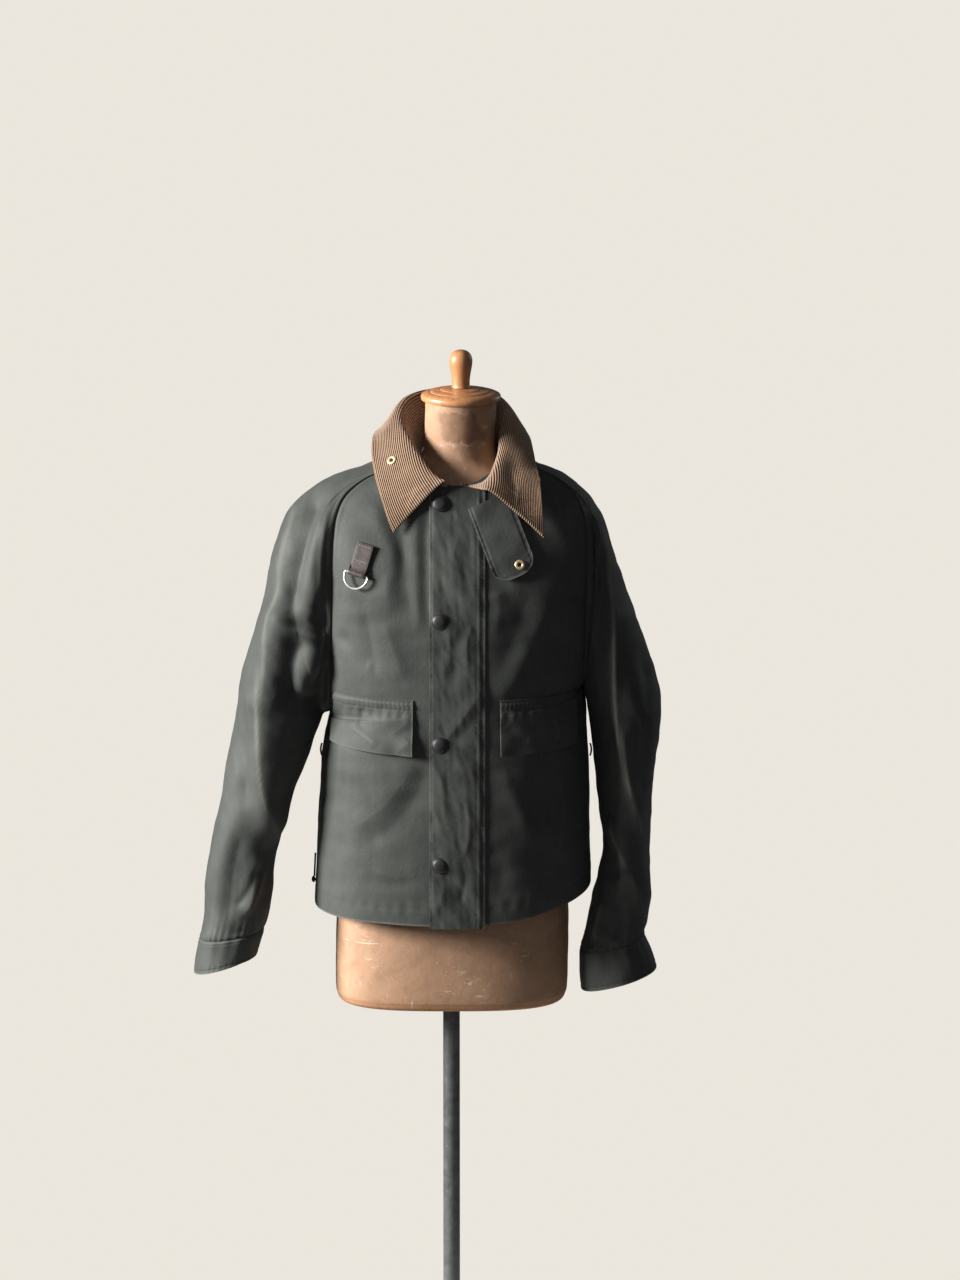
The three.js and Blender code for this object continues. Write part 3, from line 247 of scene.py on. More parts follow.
BACK_FOLDS = [
    (4.5, 26, 30, [(-128, 1340), (-96, 1220), (-84, 1090)]),
    (-4.5, 24, 26, [(118, 1345), (88, 1225), (74, 1110)]),
    (3.0, 20, 18, [(20, 1400), (16, 1320), (22, 1240)]),
    (-3.8, 12, 14, [(-160, 1130), (-100, 1086), (-24, 1072)]),
    (3.6, 12, 12, [(158, 1120), (104, 1066), (34, 1048)]),
    (5.0, 20, 24, [(-66, 1010), (-54, 900), (-60, 806)]),
    (-5.0, 24, 20, [(36, 1016), (50, 905), (46, 806)]),
    (4.0, 16, 18, [(112, 1000), (122, 900), (116, 815)]),
    (-3.4, 16, 14, [(-128, 1010), (-134, 920), (-126, 820)]),
    (-2.4, 8, 8, [(-30, 850), (14, 838), (60, 846)]),
]
SLEEVE_FRONT_FOLDS = {
    -1: [
        (-19, 15, 32, [(-186, 1424), (-199, 1366), (-213, 1304), (-225, 1244), (-228, 1206)]),
        (5.0, 9, 26, [(-172, 1378), (-183, 1310), (-186, 1262), (-198, 1222)]),
        (9.0, 26, 22, [(-208, 1404), (-236, 1310), (-253, 1210), (-262, 1130), (-266, 1060)]),
        (-6.0, 11, 14, [(-238, 1218), (-214, 1202), (-190, 1190), (-172, 1192)]),
        (-4.5, 7, 10, [(-166, 1226), (-172, 1190), (-180, 1156)]),
        (9.5, 12, 24, [(-174, 1200), (-184, 1166), (-198, 1116)]),
        (-13.0, 12, 24, [(-208, 1186), (-222, 1146), (-227, 1092)]),
        (-12.0, 10, 20, [(-240, 1108), (-206, 1090), (-176, 1082)]),
        (-3.5, 8, 9, [(-172, 1142), (-182, 1118), (-178, 1094)]),
        (13.0, 36, 18, [(-266, 1150), (-270, 1050), (-269, 966), (-259, 918), (-245, 870)]),
        (-7.0, 14, 16, [(-288, 1090), (-292, 1010), (-290, 930)]),
        (-4.0, 14, 14, [(-296, 900), (-312, 830), (-320, 762)]),
        (4.0, 9, 12, [(-268, 872), (-282, 820), (-290, 768)]),
        (2.8, 5, 7, [(-262, 846), (-276, 806), (-298, 776)]),
        (-3.0, 6, 6, [(-272, 850), (-288, 812), (-306, 788)]),
    ],
    1: [
        (3.6, 9, 4, [(211, 1380), (222, 1269), (229, 1187), (231, 1100), (237, 1030), (246, 955)]),
        (-3.0, 12, 9, [(196, 1400), (204, 1290), (208, 1200), (208, 1128)]),
        (4.0, 9, 6, [(244, 1010), (254, 962), (266, 912), (271, 880)]),
        (3.6, 9, 6, [(240, 1060), (247, 1000), (256, 940)]),
        (-3.6, 9, 10, [(262, 1080), (268, 1000), (280, 930)]),
        (3.4, 7, 7, [(252, 840), (266, 806), (274, 770), (272, 745)]),
        (3.2, 6, 6, [(218, 798), (210, 770), (203, 738)]),
        (3.0, 6, 7, [(200, 790), (190, 760), (184, 732)]),
        (-3.0, 7, 7, [(236, 800), (238, 770), (234, 740)]),
        (-4.5, 8, 8, [(152, 1412), (168, 1394), (180, 1374)]),
        (4.0, 7, 8, [(204, 1396), (200, 1372), (194, 1348)]),
        (-5.0, 12, 12, [(270, 1180), (280, 1120), (284, 1060)]),
        (5.0, 12, 9, [(224, 920), (236, 880), (250, 842)]),
        (-4.0, 8, 10, [(212, 900), (224, 862), (240, 826)]),
    ],
}
SLEEVE_BACK_FOLDS = {
    -1: [
        (-9, 18, 18, [(-186, 1360), (-212, 1270), (-214, 1170)]),
        (7, 16, 20, [(-232, 1300), (-250, 1210), (-262, 1120)]),
        (-8, 10, 12, [(-306, 1062), (-262, 1030), (-226, 1012)]),
        (7, 10, 12, [(-318, 1016), (-268, 992), (-234, 960)]),
        (-6, 9, 10, [(-318, 962), (-276, 936), (-248, 908)]),
        (4, 10, 10, [(-288, 890), (-300, 830), (-306, 770)]),
    ],
    1: [
        (-8, 16, 18, [(186, 1355), (206, 1265), (210, 1165)]),
        (7, 18, 14, [(226, 1290), (246, 1200), (262, 1110)]),
        (-8, 12, 10, [(296, 1060), (250, 1040), (214, 1010)]),
        (7, 10, 12, [(290, 1006), (250, 990), (214, 962)]),
        (-5, 9, 9, [(284, 950), (246, 925), (218, 908)]),
        (4, 10, 10, [(240, 880), (230, 820), (236, 760)]),
    ],
}
POCKET_FOLDS = [
    (0.8, 5, 6, [(-150, 1079), (-130, 1079), (-106, 1075)]),
    (-1.4, 5, 4, [(-104, 1091), (-84, 1088), (-58, 1080)]),
    (0.9, 6, 8, [(-57, 1078), (-68, 1066), (-86, 1052)]),
    (0.8, 6, 7, [(-56, 1048), (-64, 1040), (-80, 1027)]),
    (-1.6, 5, 5, [(-126, 1088), (-124, 1074), (-128, 1058)]),
    (1.3, 6, 6, [(-140, 1060), (-118, 1048), (-100, 1036)]),
    (0.9, 6, 7, [(84, 1084), (104, 1076), (128, 1080)]),
    (-0.8, 7, 7, [(78, 1066), (92, 1052), (110, 1044)]),
    (1.3, 5, 6, [(140, 1072), (148, 1056), (146, 1040)]),
]
LEAF_CREASES = [
    (0.5, 2.2, 3.0, [(-22, 1408), (-42, 1398), (-54, 1384), (-60, 1368)]),
    (0.4, 2.0, 2.4, [(-44, 1402), (-56, 1390), (-74, 1384)]),
    (0.5, 2.2, 2.6, [(84, 1424), (94, 1400), (92, 1372)]),
    (0.4, 2.0, 2.4, [(74, 1404), (92, 1390), (114, 1384)]),
]


# ---------------------------------------------------------------- small tools
def bell(distance, width):
    """A smooth hump: 1 where the distance is nought, and gone by about twice the width."""
    return np.exp(-((distance / width) ** 2))


def lerp(a, b, t):
    return a + (b - a) * t


def ease(value):
    """A smooth step from 0 to 1 of a value that is held between them."""
    held = np.clip(value, 0, 1)
    return held * held * (3 - 2 * held)


def unit(vectors):
    return vectors / np.maximum(np.linalg.norm(vectors, axis=-1, keepdims=True), 1e-9)


def sample(table, place):
    """Rows of a table at fractional places, on a smooth curve through its rows."""
    place = np.asarray(place, float)
    last = len(table) - 1
    i = np.clip(np.floor(place).astype(int), 0, last - 1)
    t = (place - i)[..., None]
    a, b, c, d = (table[np.clip(i + k, 0, last)] for k in (-1, 0, 1, 2))
    start = (2 * t**3 - 3 * t**2 + 1) * b + (t**3 - 2 * t**2 + t) * (c - a) / 2
    return start + (3 * t**2 - 2 * t**3) * c + (t**3 - t**2) * (d - b) / 2


def even_places(curve, start, end, steps):
    """Places from start to end that are evenly spaced along a curve."""
    fine = np.linspace(start, end, 600)
    gaps = np.linalg.norm(np.diff(curve(fine), axis=0), axis=1)
    lengths = np.concatenate([[0], np.cumsum(gaps)])
    return np.interp(np.linspace(0, lengths[-1], steps + 1), lengths, fine)


def grid_normals(grid, wrap=False):
    """Unit normals of a grid of points, from its steps across and along; they are not turned here."""
    if wrap:
        across = np.roll(grid, -1, 1) - np.roll(grid, 1, 1)
    else:
        across = np.gradient(grid, axis=1)
    along = np.gradient(grid, axis=0)
    return unit(np.cross(across, along))


def outwards(normals, grid, middle):
    """The same normals, all turned over if they point towards the middle."""
    facing = np.sum(normals * (grid - middle))
    return normals if facing > 0 else -normals


NORMAL_PASSES = 12


def steady_normals(grid):
    """Normals round a tube, each turned outwards and then evened with its neighbours."""
    normals = grid_normals(grid, wrap=True)
    away = grid - grid.mean(1, keepdims=True)
    inward = np.sum(normals * away, axis=-1, keepdims=True) < 0
    normals = np.where(inward, -normals, normals)
    for _ in range(NORMAL_PASSES):
        around = (np.roll(normals, 1, 1) + np.roll(normals, -1, 1)) / 2
        along = normals.copy()
        along[1:-1] = (normals[:-2] + normals[2:]) / 2
        normals = unit(normals + around + along)
    return normals


def lengths_along(grid, axis):
    """How far each point of a grid lies along its row or column, from the first."""
    gaps = np.linalg.norm(np.diff(grid, axis=axis), axis=-1)
    zero = np.zeros_like(np.take(gaps, [0], axis=axis))
    return np.concatenate([zero, np.cumsum(gaps, axis=axis)], axis=axis)


def undulation(points, seed, wavelength, height):
    """Soft uneven swells, from waves in a few seeded directions."""
    rng = np.random.default_rng(seed)
    total = np.zeros(points.shape[:-1])
    for _ in range(7):
        direction = unit(rng.normal(size=3))
        bend = unit(rng.normal(size=3))
        length = wavelength * rng.uniform(0.7, 1.6)
        phase = rng.uniform(0, 2 * math.pi, 2)
        shift = 1.3 * np.sin(points @ bend * 2 * math.pi / (2.7 * length) + phase[0])
        total += np.sin(points @ direction * 2 * math.pi / length + phase[1] + shift)
    return total * height / math.sqrt(7)


FOLD_STEPS = 14
CREST_WIDTH = 2.2


def fold_relief(folds, x, z):
    """Heights of a list of folds at x and z, and where their crests rub pale, from 0 to 1."""
    height = np.zeros(x.shape)
    crest = np.zeros(x.shape)
    for depth, wide_plus, wide_minus, points in folds:
        points = np.array(points, float)
        line = sample(points, np.linspace(0, len(points) - 1, FOLD_STEPS))
        reach = 2.6 * max(wide_plus, wide_minus)
        low, high = line.min(0) - reach, line.max(0) + reach
        near = (x > low[0]) & (x < high[0]) & (z > low[1]) & (z < high[1])
        if not near.any():
            continue
        here = np.stack([x[near], z[near]], -1)
        best = np.full(len(here), 1e9)
        turn = np.zeros(len(here))
        along = np.zeros(len(here))
        for k, (start, end) in enumerate(zip(line[:-1], line[1:])):
            step = end - start
            share = np.clip((here - start) @ step / (step @ step), 0, 1)
            off = here - start - share[:, None] * step
            distance = np.hypot(off[:, 0], off[:, 1])
            closer = distance < best
            best = np.where(closer, distance, best)
            turn = np.where(closer, off[:, 1] * step[0] - off[:, 0] * step[1], turn)
            along = np.where(closer, (k + share) / (FOLD_STEPS - 1), along)
        wide = np.where(turn > 0, wide_plus, wide_minus)
        taper = ease(np.minimum(along, 1 - along) / 0.26)
        height[near] += depth * taper * np.exp(-((best / wide) ** 1.7))
        if depth > 0:
            line_mark = bell(best, CREST_WIDTH) * taper
            crest[near] = np.maximum(crest[near], line_mark * min(depth / wide_minus, 1))
    return height, crest


# ---------------------------------------------------------------- meshes
def mesh_object(name, points, faces, fields=None, sharp=60):
    """A smooth-shaded mesh from points in millimetres and faces, quads or triangles, as an array."""
    mesh = bpy.data.meshes.new(name)
    faces = np.asarray(faces, np.int32)
    count, sides = faces.shape
    mesh.vertices.add(len(points))
    mesh.vertices.foreach_set("co", (np.asarray(points) * MM).astype(np.float32).ravel())
    mesh.loops.add(count * sides)
    mesh.loops.foreach_set("vertex_index", faces.ravel())
    mesh.polygons.add(count)
    mesh.polygons.foreach_set("loop_start", np.arange(0, count * sides, sides, dtype=np.int32))
    mesh.update(calc_edges=True)
    for field, values in (fields or {}).items():
        attribute = mesh.attributes.new(field, "FLOAT", "POINT")
        attribute.data.foreach_set("value", np.asarray(values, np.float32).ravel())
    mesh.validate()
    mesh.shade_smooth()
    if sharp:
        mesh.set_sharp_from_angle(angle=math.radians(sharp))
    made = bpy.data.objects.new(name, mesh)
    bpy.context.scene.collection.objects.link(made)
    return made


def grid_quads(rows, columns, wrap):
    """Corner numbers of the quads of a grid."""
    spans = columns if wrap else columns - 1
    j, i = np.meshgrid(np.arange(rows - 1), np.arange(spans), indexing="ij")
    right = (i + 1) % columns
    corners = [j * columns + i, j * columns + right]
    corners += [(j + 1) * columns + right, (j + 1) * columns + i]
    return np.stack(corners, -1).reshape(-1, 4)


def shell_object(name, outer, inner, wrap=False, fields=None, sharp=60):
    """A closed wall between two grids of points, joined round their edges."""
    rows, columns = outer.shape[:2]
    offset = rows * columns
    faces = grid_quads(rows, columns, wrap)
    sides = [faces, faces[:, ::-1] + offset]
    spans = columns if wrap else columns - 1
    i = np.arange(spans)
    right = (i + 1) % columns
    last = (rows - 1) * columns
    sides.append(np.stack([i, i + offset, right + offset, right], -1))
    sides.append(np.stack([last + right, last + right + offset, last + i + offset, last + i], -1))
    if not wrap:
        a = np.arange(rows - 1) * columns
        b = a + columns
        sides.append(np.stack([b, b + offset, a + offset, a], -1))
        edge = columns - 1
        sides.append(np.stack([a + edge, a + edge + offset, b + edge + offset, b + edge], -1))
    faces = np.concatenate(sides)
    points = np.concatenate([outer.reshape(-1, 3), inner.reshape(-1, 3)])
    a, b, c = points[faces[:, 0]], points[faces[:, 1]], points[faces[:, 2]]
    if np.sum(np.cross(b - a, c - a) * (a + b + c)) < 0:
        faces = faces[:, ::-1]
    doubled = {key: np.tile(np.asarray(v).ravel(), 2) for key, v in (fields or {}).items()}
    return mesh_object(name, points, faces, doubled, sharp)


def spin_points(profile, segments):
    """A lathe about +Z: a profile of radius and height from the axis to the axis."""
    profile = np.array(profile, float)
    angle = np.arange(segments) * 2 * math.pi / segments
    body = profile[1:-1]
    ring = np.stack([np.cos(angle), np.sin(angle)], -1)
    sides = body[:, None, :1] * ring[None]
    heights = np.repeat(body[:, None, 1:], segments, 1)
    points = np.concatenate([sides, heights], -1).reshape(-1, 3)
    ends = np.array([[0, 0, profile[0, 1]], [0, 0, profile[-1, 1]]])
    points = np.concatenate([points, ends])
    faces = grid_quads(len(body), segments, True)
    bottom, top = len(points) - 2, len(points) - 1
    i = np.arange(segments)
    right = (i + 1) % segments
    last = (len(body) - 1) * segments
    fans = [np.stack([np.full(segments, bottom), right, i], -1)]
    fans.append(np.stack([np.full(segments, top), last + i, last + right], -1))
    triangles = np.concatenate([faces[:, [0, 1, 2]], faces[:, [0, 2, 3]], *fans])
    return points, triangles


def ring_points(profile, segments):
    """A lathe about +Z of a closed profile that doesn't meet the axis."""
    profile = np.array(profile, float)
    angle = np.arange(segments) * 2 * math.pi / segments
    ring = np.stack([np.cos(angle), np.sin(angle)], -1)
    sides = profile[:, None, :1] * ring[None]
    heights = np.repeat(profile[:, None, 1:], segments, 1)
    points = np.concatenate([sides, heights], -1).reshape(-1, 3)
    faces = grid_quads(len(profile) + 1, segments, True) % len(points)
    return points, faces


def placed(points, origin, x_axis, y_axis, z_axis):
    """Points of a small part turned to its own axes and moved to its place."""
    return origin + points @ np.stack([x_axis, y_axis, z_axis])


def axes_on(normal, up=(0, 0, 1)):
    """Two axes that lie in the cloth and its normal."""
    y_axis = np.array(up, float) - np.dot(up, normal) * normal
    y_axis = y_axis / np.linalg.norm(y_axis)
    return np.cross(y_axis, normal), y_axis, normal


def tube_points(line, radius, sides, closed=False):
    """A round tube along a line of points, with flat ends unless it is closed."""
    line = np.asarray(line, float)
    if closed:
        tangent = unit(np.roll(line, -1, 0) - np.roll(line, 1, 0))
    else:
        tangent = unit(np.gradient(line, axis=0))
    helper = np.array([0.0, 1.0, 0.0])
    first = unit(np.cross(tangent, helper))
    second = np.cross(tangent, first)
    angle = np.arange(sides) * 2 * math.pi / sides
    off = np.cos(angle)[None, :, None] * first[:, None] + np.sin(angle)[None, :, None] * second[:, None]
    points = (line[:, None] + radius * off).reshape(-1, 3)
    faces = grid_quads(len(line) + (1 if closed else 0), sides, True) % len(points)
    triangles = [faces[:, [0, 1, 2]], faces[:, [0, 2, 3]]]
    if not closed:
        points = np.concatenate([points, line[[0, -1]]])
        i = np.arange(sides)
        right = (i + 1) % sides
        last = (len(line) - 1) * sides
        start, end = len(points) - 2, len(points) - 1
        triangles.append(np.stack([np.full(sides, start), right, i], -1))
        triangles.append(np.stack([np.full(sides, end), last + i, last + right], -1))
    return points, np.concatenate(triangles)


STITCH_RINGS = [(-0.82, 0.7), (0.0, 1.0), (0.82, 0.7)]
STITCH_SIDES = 6


def stitch_points(line, normals, length, gap, radius):
    """A row of stitches, each a short rounded bar, along a line on the cloth."""
    steps = lengths_along(line[None], 1)[0]
    count = max(int(steps[-1] / (length + gap)), 1)
    at = (np.arange(count) + 0.5) * steps[-1] / count
    spot = np.stack([np.interp(at, steps, line[:, k]) for k in range(3)], -1)
    out = unit(np.stack([np.interp(at, steps, normals[:, k]) for k in range(3)], -1))
    ahead = np.stack([np.interp(at + 0.5, steps, line[:, k]) for k in range(3)], -1)
    behind = np.stack([np.interp(at - 0.5, steps, line[:, k]) for k in range(3)], -1)
    along = unit(ahead - behind)
    beside = unit(np.cross(along, out))
    shape = [[-1, 0, 0]]
    for place, wide in STITCH_RINGS:
        for k in range(STITCH_SIDES):
            angle = 2 * math.pi * k / STITCH_SIDES
            shape.append([place, wide * math.cos(angle), wide * math.sin(angle)])
    shape.append([1, 0, 0])
    shape = np.array(shape) * [length / 2, radius, radius]
    points = (
        spot[:, None]
        + shape[None, :, :1] * along[:, None]
        + shape[None, :, 1:2] * beside[:, None]
        + shape[None, :, 2:] * out[:, None]
    )
    faces = []
    rings = len(STITCH_RINGS)
    tip = 1 + rings * STITCH_SIDES
    for k in range(STITCH_SIDES):
        right = (k + 1) % STITCH_SIDES
        faces.append([0, 1 + right, 1 + k])
        faces.append([tip, tip - STITCH_SIDES + k, tip - STITCH_SIDES + right])
        for ring in range(rings - 1):
            a, b = 1 + ring * STITCH_SIDES + k, 1 + ring * STITCH_SIDES + right
            faces += [[a, b, b + STITCH_SIDES], [a, b + STITCH_SIDES, a + STITCH_SIDES]]
    faces = np.array(faces)
    every = faces[None] + (np.arange(count) * len(shape))[:, None, None]
    return points.reshape(-1, 3), every.reshape(-1, 3)


def joined(parts):
    """Several lists of points and faces as one."""
    points, faces, start = [], [], 0
    for some_points, some_faces in parts:
        points.append(some_points)
        faces.append(some_faces + start)
        start += len(some_points)
    return np.concatenate(points), np.concatenate(faces)


def finished(piece, body, slot, material, *nodes):
    """Gives a piece its body and finish, and hides the frame nodes that it stands for. The slot is not
    used.
    """
    piece.data.materials.append(material)
    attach(piece, body)
    if nodes:
        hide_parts(*nodes)
    return piece


# ---------------------------------------------------------------- the jacket's body
def middle_x(z):
    return LEAN_FOOT_X + LEAN_RATE * (z - FORM_FOOT_Z)


def middle_of(grid):
    return np.stack([middle_x(grid[..., 2]), np.zeros(grid.shape[:-1]), grid[..., 2]], -1)


def bow(t, span, power):
    """How far a row still stands forward at t, from 1 at the middle to 0 at its outer edge."""
    span = np.minimum(span, 1)
    height = np.maximum(1 - np.clip(t * span, 0, 1) ** power, 0) ** (1 / power)
    edge = np.maximum(1 - span**power, 0) ** (1 / power)
    return (height - edge) / (1 - edge)


def body_point(table, facing, side, place, t):
    """Points of the front (facing -1) or back (1), at places up the table and t across."""
    row = np.moveaxis(sample(table, place), -1, 0)
    z_centre, y_centre, x_edge, y_edge, z_edge, span, power, tilt = row
    centre_x = CENTRE_FRONT_X if facing < 0 else middle_x(z_centre)
    x = lerp(centre_x, middle_x(z_edge) + side * x_edge, t)
    y = facing * lerp(y_edge, y_centre, bow(t, span, power))
    z = lerp(z_centre, z_edge + side * tilt, t * t)
    return np.stack(np.broadcast_arrays(x, y, z), -1)


def front_point(side, place, t):
    return body_point(FRONT_ROWS, -1, side, place, t)


def back_point(side, place, t):
    return body_point(BACK_ROWS, 1, side, place, t)


LOWEST_MEASURED_Z = 815
NORMAL_STEP = 4


def front_at(x, z):
    """Points of the front at x and height."""
    x, z = np.broadcast_arrays(np.asarray(x, float), np.asarray(z, float))
    side = np.where(x < CENTRE_FRONT_X, -1, 1)
    low = np.zeros(x.shape)
    high = np.full(x.shape, len(FRONT_ROWS) - 1.0)
    for _ in range(22):
        place = (low + high) / 2
        edge_x = front_point(side, place, 1.0)[..., 0]
        t = np.minimum((x - CENTRE_FRONT_X) / (edge_x - CENTRE_FRONT_X), 1)
        point = front_point(side, place, t)
        low = np.where(point[..., 2] < z, place, low)
        high = np.where(point[..., 2] < z, high, place)
    return point


def front_normal(x, z):
    height = np.maximum(z, LOWEST_MEASURED_Z) + NORMAL_STEP
    to_left = front_at(x + NORMAL_STEP, height) - front_at(x - NORMAL_STEP, height)
    up = front_at(x, height + NORMAL_STEP) - front_at(x, height - NORMAL_STEP)
    return unit(np.cross(to_left, up))


def over_front(x, z, lift):
    """Points of the front at x and z, moved out along its normal."""
    point = front_at(x, np.maximum(z, LOWEST_MEASURED_Z)).copy()
    point[..., 2] += np.minimum(np.asarray(z) - LOWEST_MEASURED_Z, 0)
    return point + front_normal(x, z) * np.asarray(lift)[..., None]


TAB_X, TAB_Z, TAB_SLANT = -124, 1300, 0.25
TAB_CALM = 34


def front_relief(x, z):
    """Heights of the fronts' folds and swells, and their rubbed crests."""
    strength = bpy.context.scene.jacket_sizes.fold_strength
    height, crest = fold_relief(FRONT_FOLDS, x, z)
    flat = np.stack([x, np.zeros_like(x), z], -1)
    height = height + undulation(flat, 11, 95, 1.1) + undulation(flat, 12, 34, 0.35)
    calm = ease((np.hypot(x - TAB_X, z - TAB_Z) - TAB_CALM) / 24)
    return height * calm * strength, crest


SEAM_FADE = 14
HEM_STITCH = 24


def seam_groove(distance):
    """The dip where two panels meet, and the roll of cloth beside it."""
    return -0.9 * bell(distance, 1.7) + 0.5 * bell(distance - 5, 3)


def puckers(along, seed, pitch, height):
    """Small gathers across a row of stitches, uneven in pitch and height."""
    rng = np.random.default_rng(seed)
    phase = rng.uniform(0, 2 * math.pi, 3)
    warp = 1.4 * np.sin(along / (pitch * 3.1) + phase[0]) + 0.8 * np.sin(along / pitch / 1.7 + phase[1])
    swell = 0.7 + 0.3 * np.sin(along / (pitch * 5.3) + phase[2])
    return height * swell * np.sin(2 * math.pi * along / pitch + warp)


def hem_relief(distance, along, seed):
    """A turned hem: a row of stitches some way up, with puckers below and above it."""
    dip = -0.5 * bell(distance - HEM_STITCH, 1.6)
    band = bell(distance - HEM_STITCH, 9)
    return dip + band * puckers(along, seed, 19, 0.34)


def cloth_finish():
    return finish_once("wax_cloth", wax_cloth)


LOWER_STEPS = 96
RAGLAN_STEPS = 110
ACROSS_STEPS = 84


def panel_places(point, table):
    """The places of a panel's rows, evenly spaced up its outer edge."""
    last = len(table) - 1

    def edge(place):
        return point(1, place, 1.0)

    lower = even_places(edge, 0, UNDERARM_ROW, LOWER_STEPS)
    upper = even_places(edge, UNDERARM_ROW, last, RAGLAN_STEPS)
    return np.concatenate([lower, upper[1:]]), upper


def shares_across(steps):
    return np.sin(np.linspace(0, 1, steps + 1) * math.pi / 2)


def front_panel(side, name, node):
    places, _ = panel_places(front_point, FRONT_ROWS)
    grid = front_point(side, places[:, None], shares_across(ACROSS_STEPS)[None, :])
    normals = outwards(grid_normals(grid), grid, middle_of(grid))
    to_seam = lengths_along(grid[:, ::-1], 1)[:, ::-1]
    from_hem = lengths_along(grid, 0)
    along_hem = lengths_along(grid, 1)
    height, crest = front_relief(grid[..., 0], grid[..., 2])
    height = height * ease(to_seam / SEAM_FADE) + seam_groove(to_seam)
    height = height + hem_relief(from_hem, along_hem, 21 + side)
    wear = np.maximum(crest, 0.7 * bell(from_hem, 1.6))
    outer = grid + normals * height[..., None]
    piece = shell_object(name, outer, outer - normals * SHELL, fields={"wear": wear})
    finished(piece, "root", "wax_cloth", cloth_finish(), node)
    line = row_at(outer, from_hem, HEM_STITCH)
    return stitch_points(line, row_at(normals, from_hem, HEM_STITCH), *stitch_sizes())


def row_at(grid, distances, distance):
    """The line across a grid that lies a distance up its columns."""
    columns = range(grid.shape[1])
    return np.stack(
        [
            np.stack([np.interp(distance, distances[:, i], grid[:, i, k]) for k in range(3)])
            for i in columns
        ]
    )


def stitch_sizes():
    sizes = bpy.context.scene.jacket_sizes
    return sizes.stitch_length / MM, sizes.stitch_gap / MM, sizes.thread_radius / MM


def back_panel():
    places, _ = panel_places(back_point, BACK_ROWS)
    half = shares_across(70)
    right = back_point(-1, places[:, None], half[None, ::-1])
    left = back_point(1, places[:, None], half[None, 1:])
    grid = np.concatenate([right, left], 1)
    normals = outwards(grid_normals(grid), grid, middle_of(grid))
    to_left = lengths_along(grid[:, ::-1], 1)[:, ::-1]
    to_right = lengths_along(grid, 1)
    to_seam = np.minimum(to_left, to_right)
    from_hem = lengths_along(grid, 0)
    height, crest = fold_relief(BACK_FOLDS, grid[..., 0], grid[..., 2])
    height = height + undulation(grid, 31, 120, 1.5) + undulation(grid, 32, 38, 0.4)
    height = height * ease(to_seam / SEAM_FADE) + seam_groove(to_seam)
    height = height + hem_relief(from_hem, to_right, 33)
    wear = np.maximum(crest, 0.7 * bell(from_hem, 1.6))
    outer = grid + normals * height[..., None]
    piece = shell_object("back_panel", outer, outer - normals * SHELL, fields={"wear": wear})
    finished(piece, "root", "wax_cloth", cloth_finish(), "back")
    line = row_at(outer, from_hem, HEM_STITCH)
    return stitch_points(line, row_at(normals, from_hem, HEM_STITCH), *stitch_sizes())


# ---------------------------------------------------------------- sleeves
RING = 24  # the frame's own steps round a sleeve: neck side, down the front, underarm, up the back
HALF_RING = RING // 2
SEAM_STEPS = HALF_RING - 1
NECK_SIDE_X = 63
NECK_SIDE_Z = 1430


def signed_power(value, power):
    return np.sign(value) * np.abs(value) ** power


def sleeve_oval(row, side, u):
    """An oval of the sleeve at each place u round it."""
    x_out, z_out, x_in, z_in, y_mid, depth, power = (row[..., k, None] for k in range(7))
    angle = u / RING * 2 * math.pi
    along = signed_power(np.cos(angle), 2 / power)
    deep = signed_power(np.sin(angle), 2 / power)
    x = side * lerp(x_in, x_out, (1 + along) / 2)
    return np.stack([x, y_mid - depth * deep, lerp(z_in, z_out, (1 + along) / 2)], -1)


def raglan_ring(side, u):
    """The raglan seam as a closed ring, at each place u round it."""
    front = panel_places(front_point, FRONT_ROWS)[1]
    back = panel_places(back_point, BACK_ROWS)[1]
    steps = np.linspace(0, SEAM_STEPS, len(front))
    down = np.interp(SEAM_STEPS - (u - 1), steps, front)
    up = np.interp(u - HALF_RING, steps, back)
    ring = np.where((u <= HALF_RING)[:, None], front_point(side, down, 1.0), back_point(side, up, 1.0))
    top = np.array([middle_x(NECK_SIDE_Z) + side * NECK_SIDE_X, -2, NECK_SIDE_Z])
    ends = [
        back_point(side, back[-1 - len(back) // SEAM_STEPS], 1.0),
        back_point(side, back[-1], 1.0),
        top,
        front_point(side, front[-1], 1.0),
        front_point(side, front[-1 - len(front) // SEAM_STEPS], 1.0),
    ]
    over_neck = (u < 1) | (u > RING - 1)
    around = np.where(u < 1, u + 2, u - RING + 2)
    bridge = sample(np.array(ends), np.clip(around, 1, 3))
    return np.where(over_neck[:, None], bridge, ring)


def shoulder_grid(seam, first, side, u, steps):
    """Rings between the raglan seam and the first oval of the arm."""
    share = u / HALF_RING
    top = (1 + np.cos(share * math.pi)) / 2
    deep = np.sin(share * math.pi)
    leaving = unit(np.stack([np.full(len(u), side), -0.22 * deep, lerp(-0.9, -0.25, np.sqrt(top))], -1))
    entering = unit(np.stack([np.full(len(u), 0.3 * side), 0.05 * deep, np.full(len(u), -1.0)], -1))
    reach = 1.05 * np.linalg.norm(first - seam, axis=1)[:, None]
    t = np.linspace(0, 1, steps, endpoint=False)[:, None, None]
    grid = (2 * t**3 - 3 * t**2 + 1) * seam + (t**3 - 2 * t**2 + t) * reach * leaving
    return grid + (3 * t**2 - 2 * t**3) * first + (t**3 - t**2) * reach * entering


AROUND_STEPS = 132
SHOULDER_STEPS = 56
ARM_STEPS = 150
RAGLAN_STITCH = 10
SLEEVE_SEAM_ALLOWANCE = 7
LEVEL_FROM_SEAM, LEVEL_WIDTH, LEVEL_DEPTH = 26, 14, 1.5


